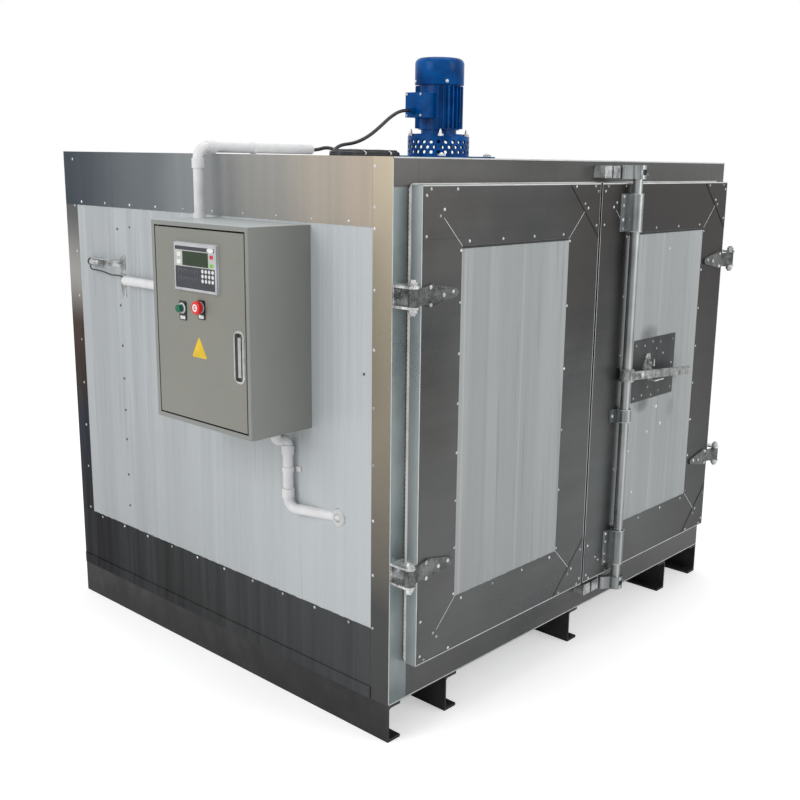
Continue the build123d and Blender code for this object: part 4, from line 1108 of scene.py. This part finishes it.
# %% Switches
STOP, SELECT = (549, 1161), (640, 1150)
legends = plates("switch_legends", [label(y - 17, y + 17, z - 36, z + 21, 0, 2.6, 3) for y, z in
                                    (STOP, SELECT)], black_matte, "box_door", 0.0006)
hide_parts("stop_legend")
plates("switch_labels", [label(y - 12, y + 12, z - 33, z - 23, 2.6, 0.4, 1) for y, z in (STOP, SELECT)],
       label_white, "box_door")
for name, where, deep in (("select_ring", SELECT, 0.0046), ("stop_ring", STOP, 0.0040)):
    rings(name, [(on_box(*where, 2.6), OUT_LEFT, band(0.0112, 0.0168, deep, 0.0014))], silver_ring,
          "box_door", "chrome")
rings("stop_mark", [(on_box(*STOP, 25), OUT_LEFT, band(0.006, 0.0115, 0.0004, 0.0001))],
      label_white, "stop_head", "red_plastic")
plates("stop_mark_bar", [label(543, 555, 1160, 1162.5, 25, 0.4)], label_white, "stop_head")

# %% Surround of the pull handle
def surround(name, outer, inner, origin, right, up, thick, look, body):
    """A flat ring between two outlines with the same number of points."""
    bm = bmesh.new()
    origin, right, up = Vector(origin), Vector(right), Vector(up)
    out = right.cross(up) * thick
    edge = [[bm.verts.new(origin + right * x + up * y + out * k) for x, y in line]
            for line, k in ((outer, 0), (outer, 1), (inner, 1), (inner, 0))]
    for one, two in zip(edge, edge[1:]):
        for i in range(len(one)):
            k = (i + 1) % len(one)
            bm.faces.new((one[i], one[k], two[k], two[i]))
    bmesh.ops.bevel(bm, geom=[e for e in bm.edges if e.verts[0] in edge[1] and e.verts[1] in edge[1]],
                    offset=thick * 0.6, segments=3, affect="EDGES")
    return keep(name, bm, look, body)


surround("pull_surround", oblong(0.048, 0.154, 0.022, 8), oblong(0.033, 0.139, 0.008, 8),
         on_box(378, 1035), OUT_FRONT, UP, 0.003, chrome, "box_door")
surround("panel_rim", oblong(0.206, 0.143, 0.007), oblong(0.201, 0.138, 0.004), on_box(564, 1275.5),
         OUT_FRONT, UP, 0.006, bezel_silver, "box_door")

# %% The motor's fan cowl, drawn with its rounded shoulder
shoulder = [(0.066 + 0.023 * cos(radians(t)), 0.072 + 0.0215 * sin(radians(t))) for t in range(0, 91, 10)]
cowl_line = [(0.0006, 0.0), (0.0884, 0.0), (0.089, 0.0008)] + shoulder + [(0.04, 0.0952), (0.0006, 0.0958)]
cowl = rings("cowl_shell", [(at(motor_x, motor_y, 1855), UP, cowl_line)], enamel, "oven", "motor_blue", 64)
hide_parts("fan_cowl")

# %% A blank triangular label
def triangle(size, r):
    """Equilateral outline with rounded corners."""
    points = []
    for k in range(3):
        t = pi / 2 + 2 * pi * k / 3
        cx, cy = (size / 3 ** 0.5 - 2 * r) * cos(t), (size / 3 ** 0.5 - 2 * r) * sin(t)
        points += [(cx + r * cos(t + a), cy + r * sin(t + a)) for a in (-1.0, -0.5, 0, 0.5, 1.0)]
    return points


sign_at = on_box(566, 1030, 0)
plates("sign_plate", [(triangle(0.074, 0.004), sign_at, OUT_FRONT, UP, 0.0004)], sign_yellow,
       "box_door")

# %% [markdown]
# ## Conduit fittings
# White conduit is held by saddle clips, each a ring round the pipe with a foot on both sides.
# Where the lower run goes through the wall there is a ring of sealant.

# %% Clips and sealant
def saddle(name, centre, run, wall, reach):
    """A strap over a pipe: a ring round it and a foot on each side of it."""
    run, wall = Vector(run).normalized(), Vector(wall).normalized()
    side = run.cross(wall)
    bm = bmesh.new()
    ring_mesh(bm, Vector(centre) - run * 0.008, run, band(0.0161, 0.0184, 0.016, 0.0008))
    for s in (-1, 1):
        foot = Vector(centre) + wall * (reach - 0.0025) + side * s * 0.024
        cut_plate(bm, oblong(0.022, 0.016, 0.003, 3), foot, side, run, 0.0025)
    return keep(name, bm, conduit_white, "oven")


saddle("roof_clip", at(150, 768, 1619.5), (1, 0, 0), (0, 0, -1), 0.0215)
saddle("wall_clip", at(-22, 415, 655), (0, 0, 1), (1, 0, 0), 0.022)
saddle("probe_clip", at(-18.5, 960, 1160), (0, 1, 0), (1, 0, 0), 0.0185)
entry = at(2, 214, 539)
rings("wall_sealant", [(entry, (-1, 0, 0), [(0.012, 0), (0.030, 0), (0.027, 0.004), (0.020, 0.0065),
                                           (0.013, 0.008)])], sealant, "oven", "conduit_white", 22)

# %% [markdown]
# ## Cable ties
# Two white ties hold the loops of the motor cable.

# %% Ties
bm = bmesh.new()
for x in (505, 628):
    ring_mesh(bm, at(x, 674, 1611), (1, 0, 0), [(0.0305, 0), (0.032, 0), (0.032, 0.0045), (0.0305, 0.0045)],
              40)
bmesh.ops.scale(bm, vec=(1, 2.0, 0.43), space=Matrix.Translation(-at(0, 674, 1611)), verts=bm.verts)
keep("cable_ties", bm, tie_white, "oven", True)

# %% Finish
for piece, names, body, slot in ((motor_cable, ("motor_cable", "cable_coil"), "oven", "cable_black"),
                                 (probe_lead, ("probe_lead",), "oven", "cable_black")):
    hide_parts(*names)
    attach(piece, body)
motor_cable.data.materials.append(rubber.material)
probe_lead.data.materials.append(rubber.material)
line_length(motor_cable)
line_length(probe_lead)
bpy.context.view_layer.update()
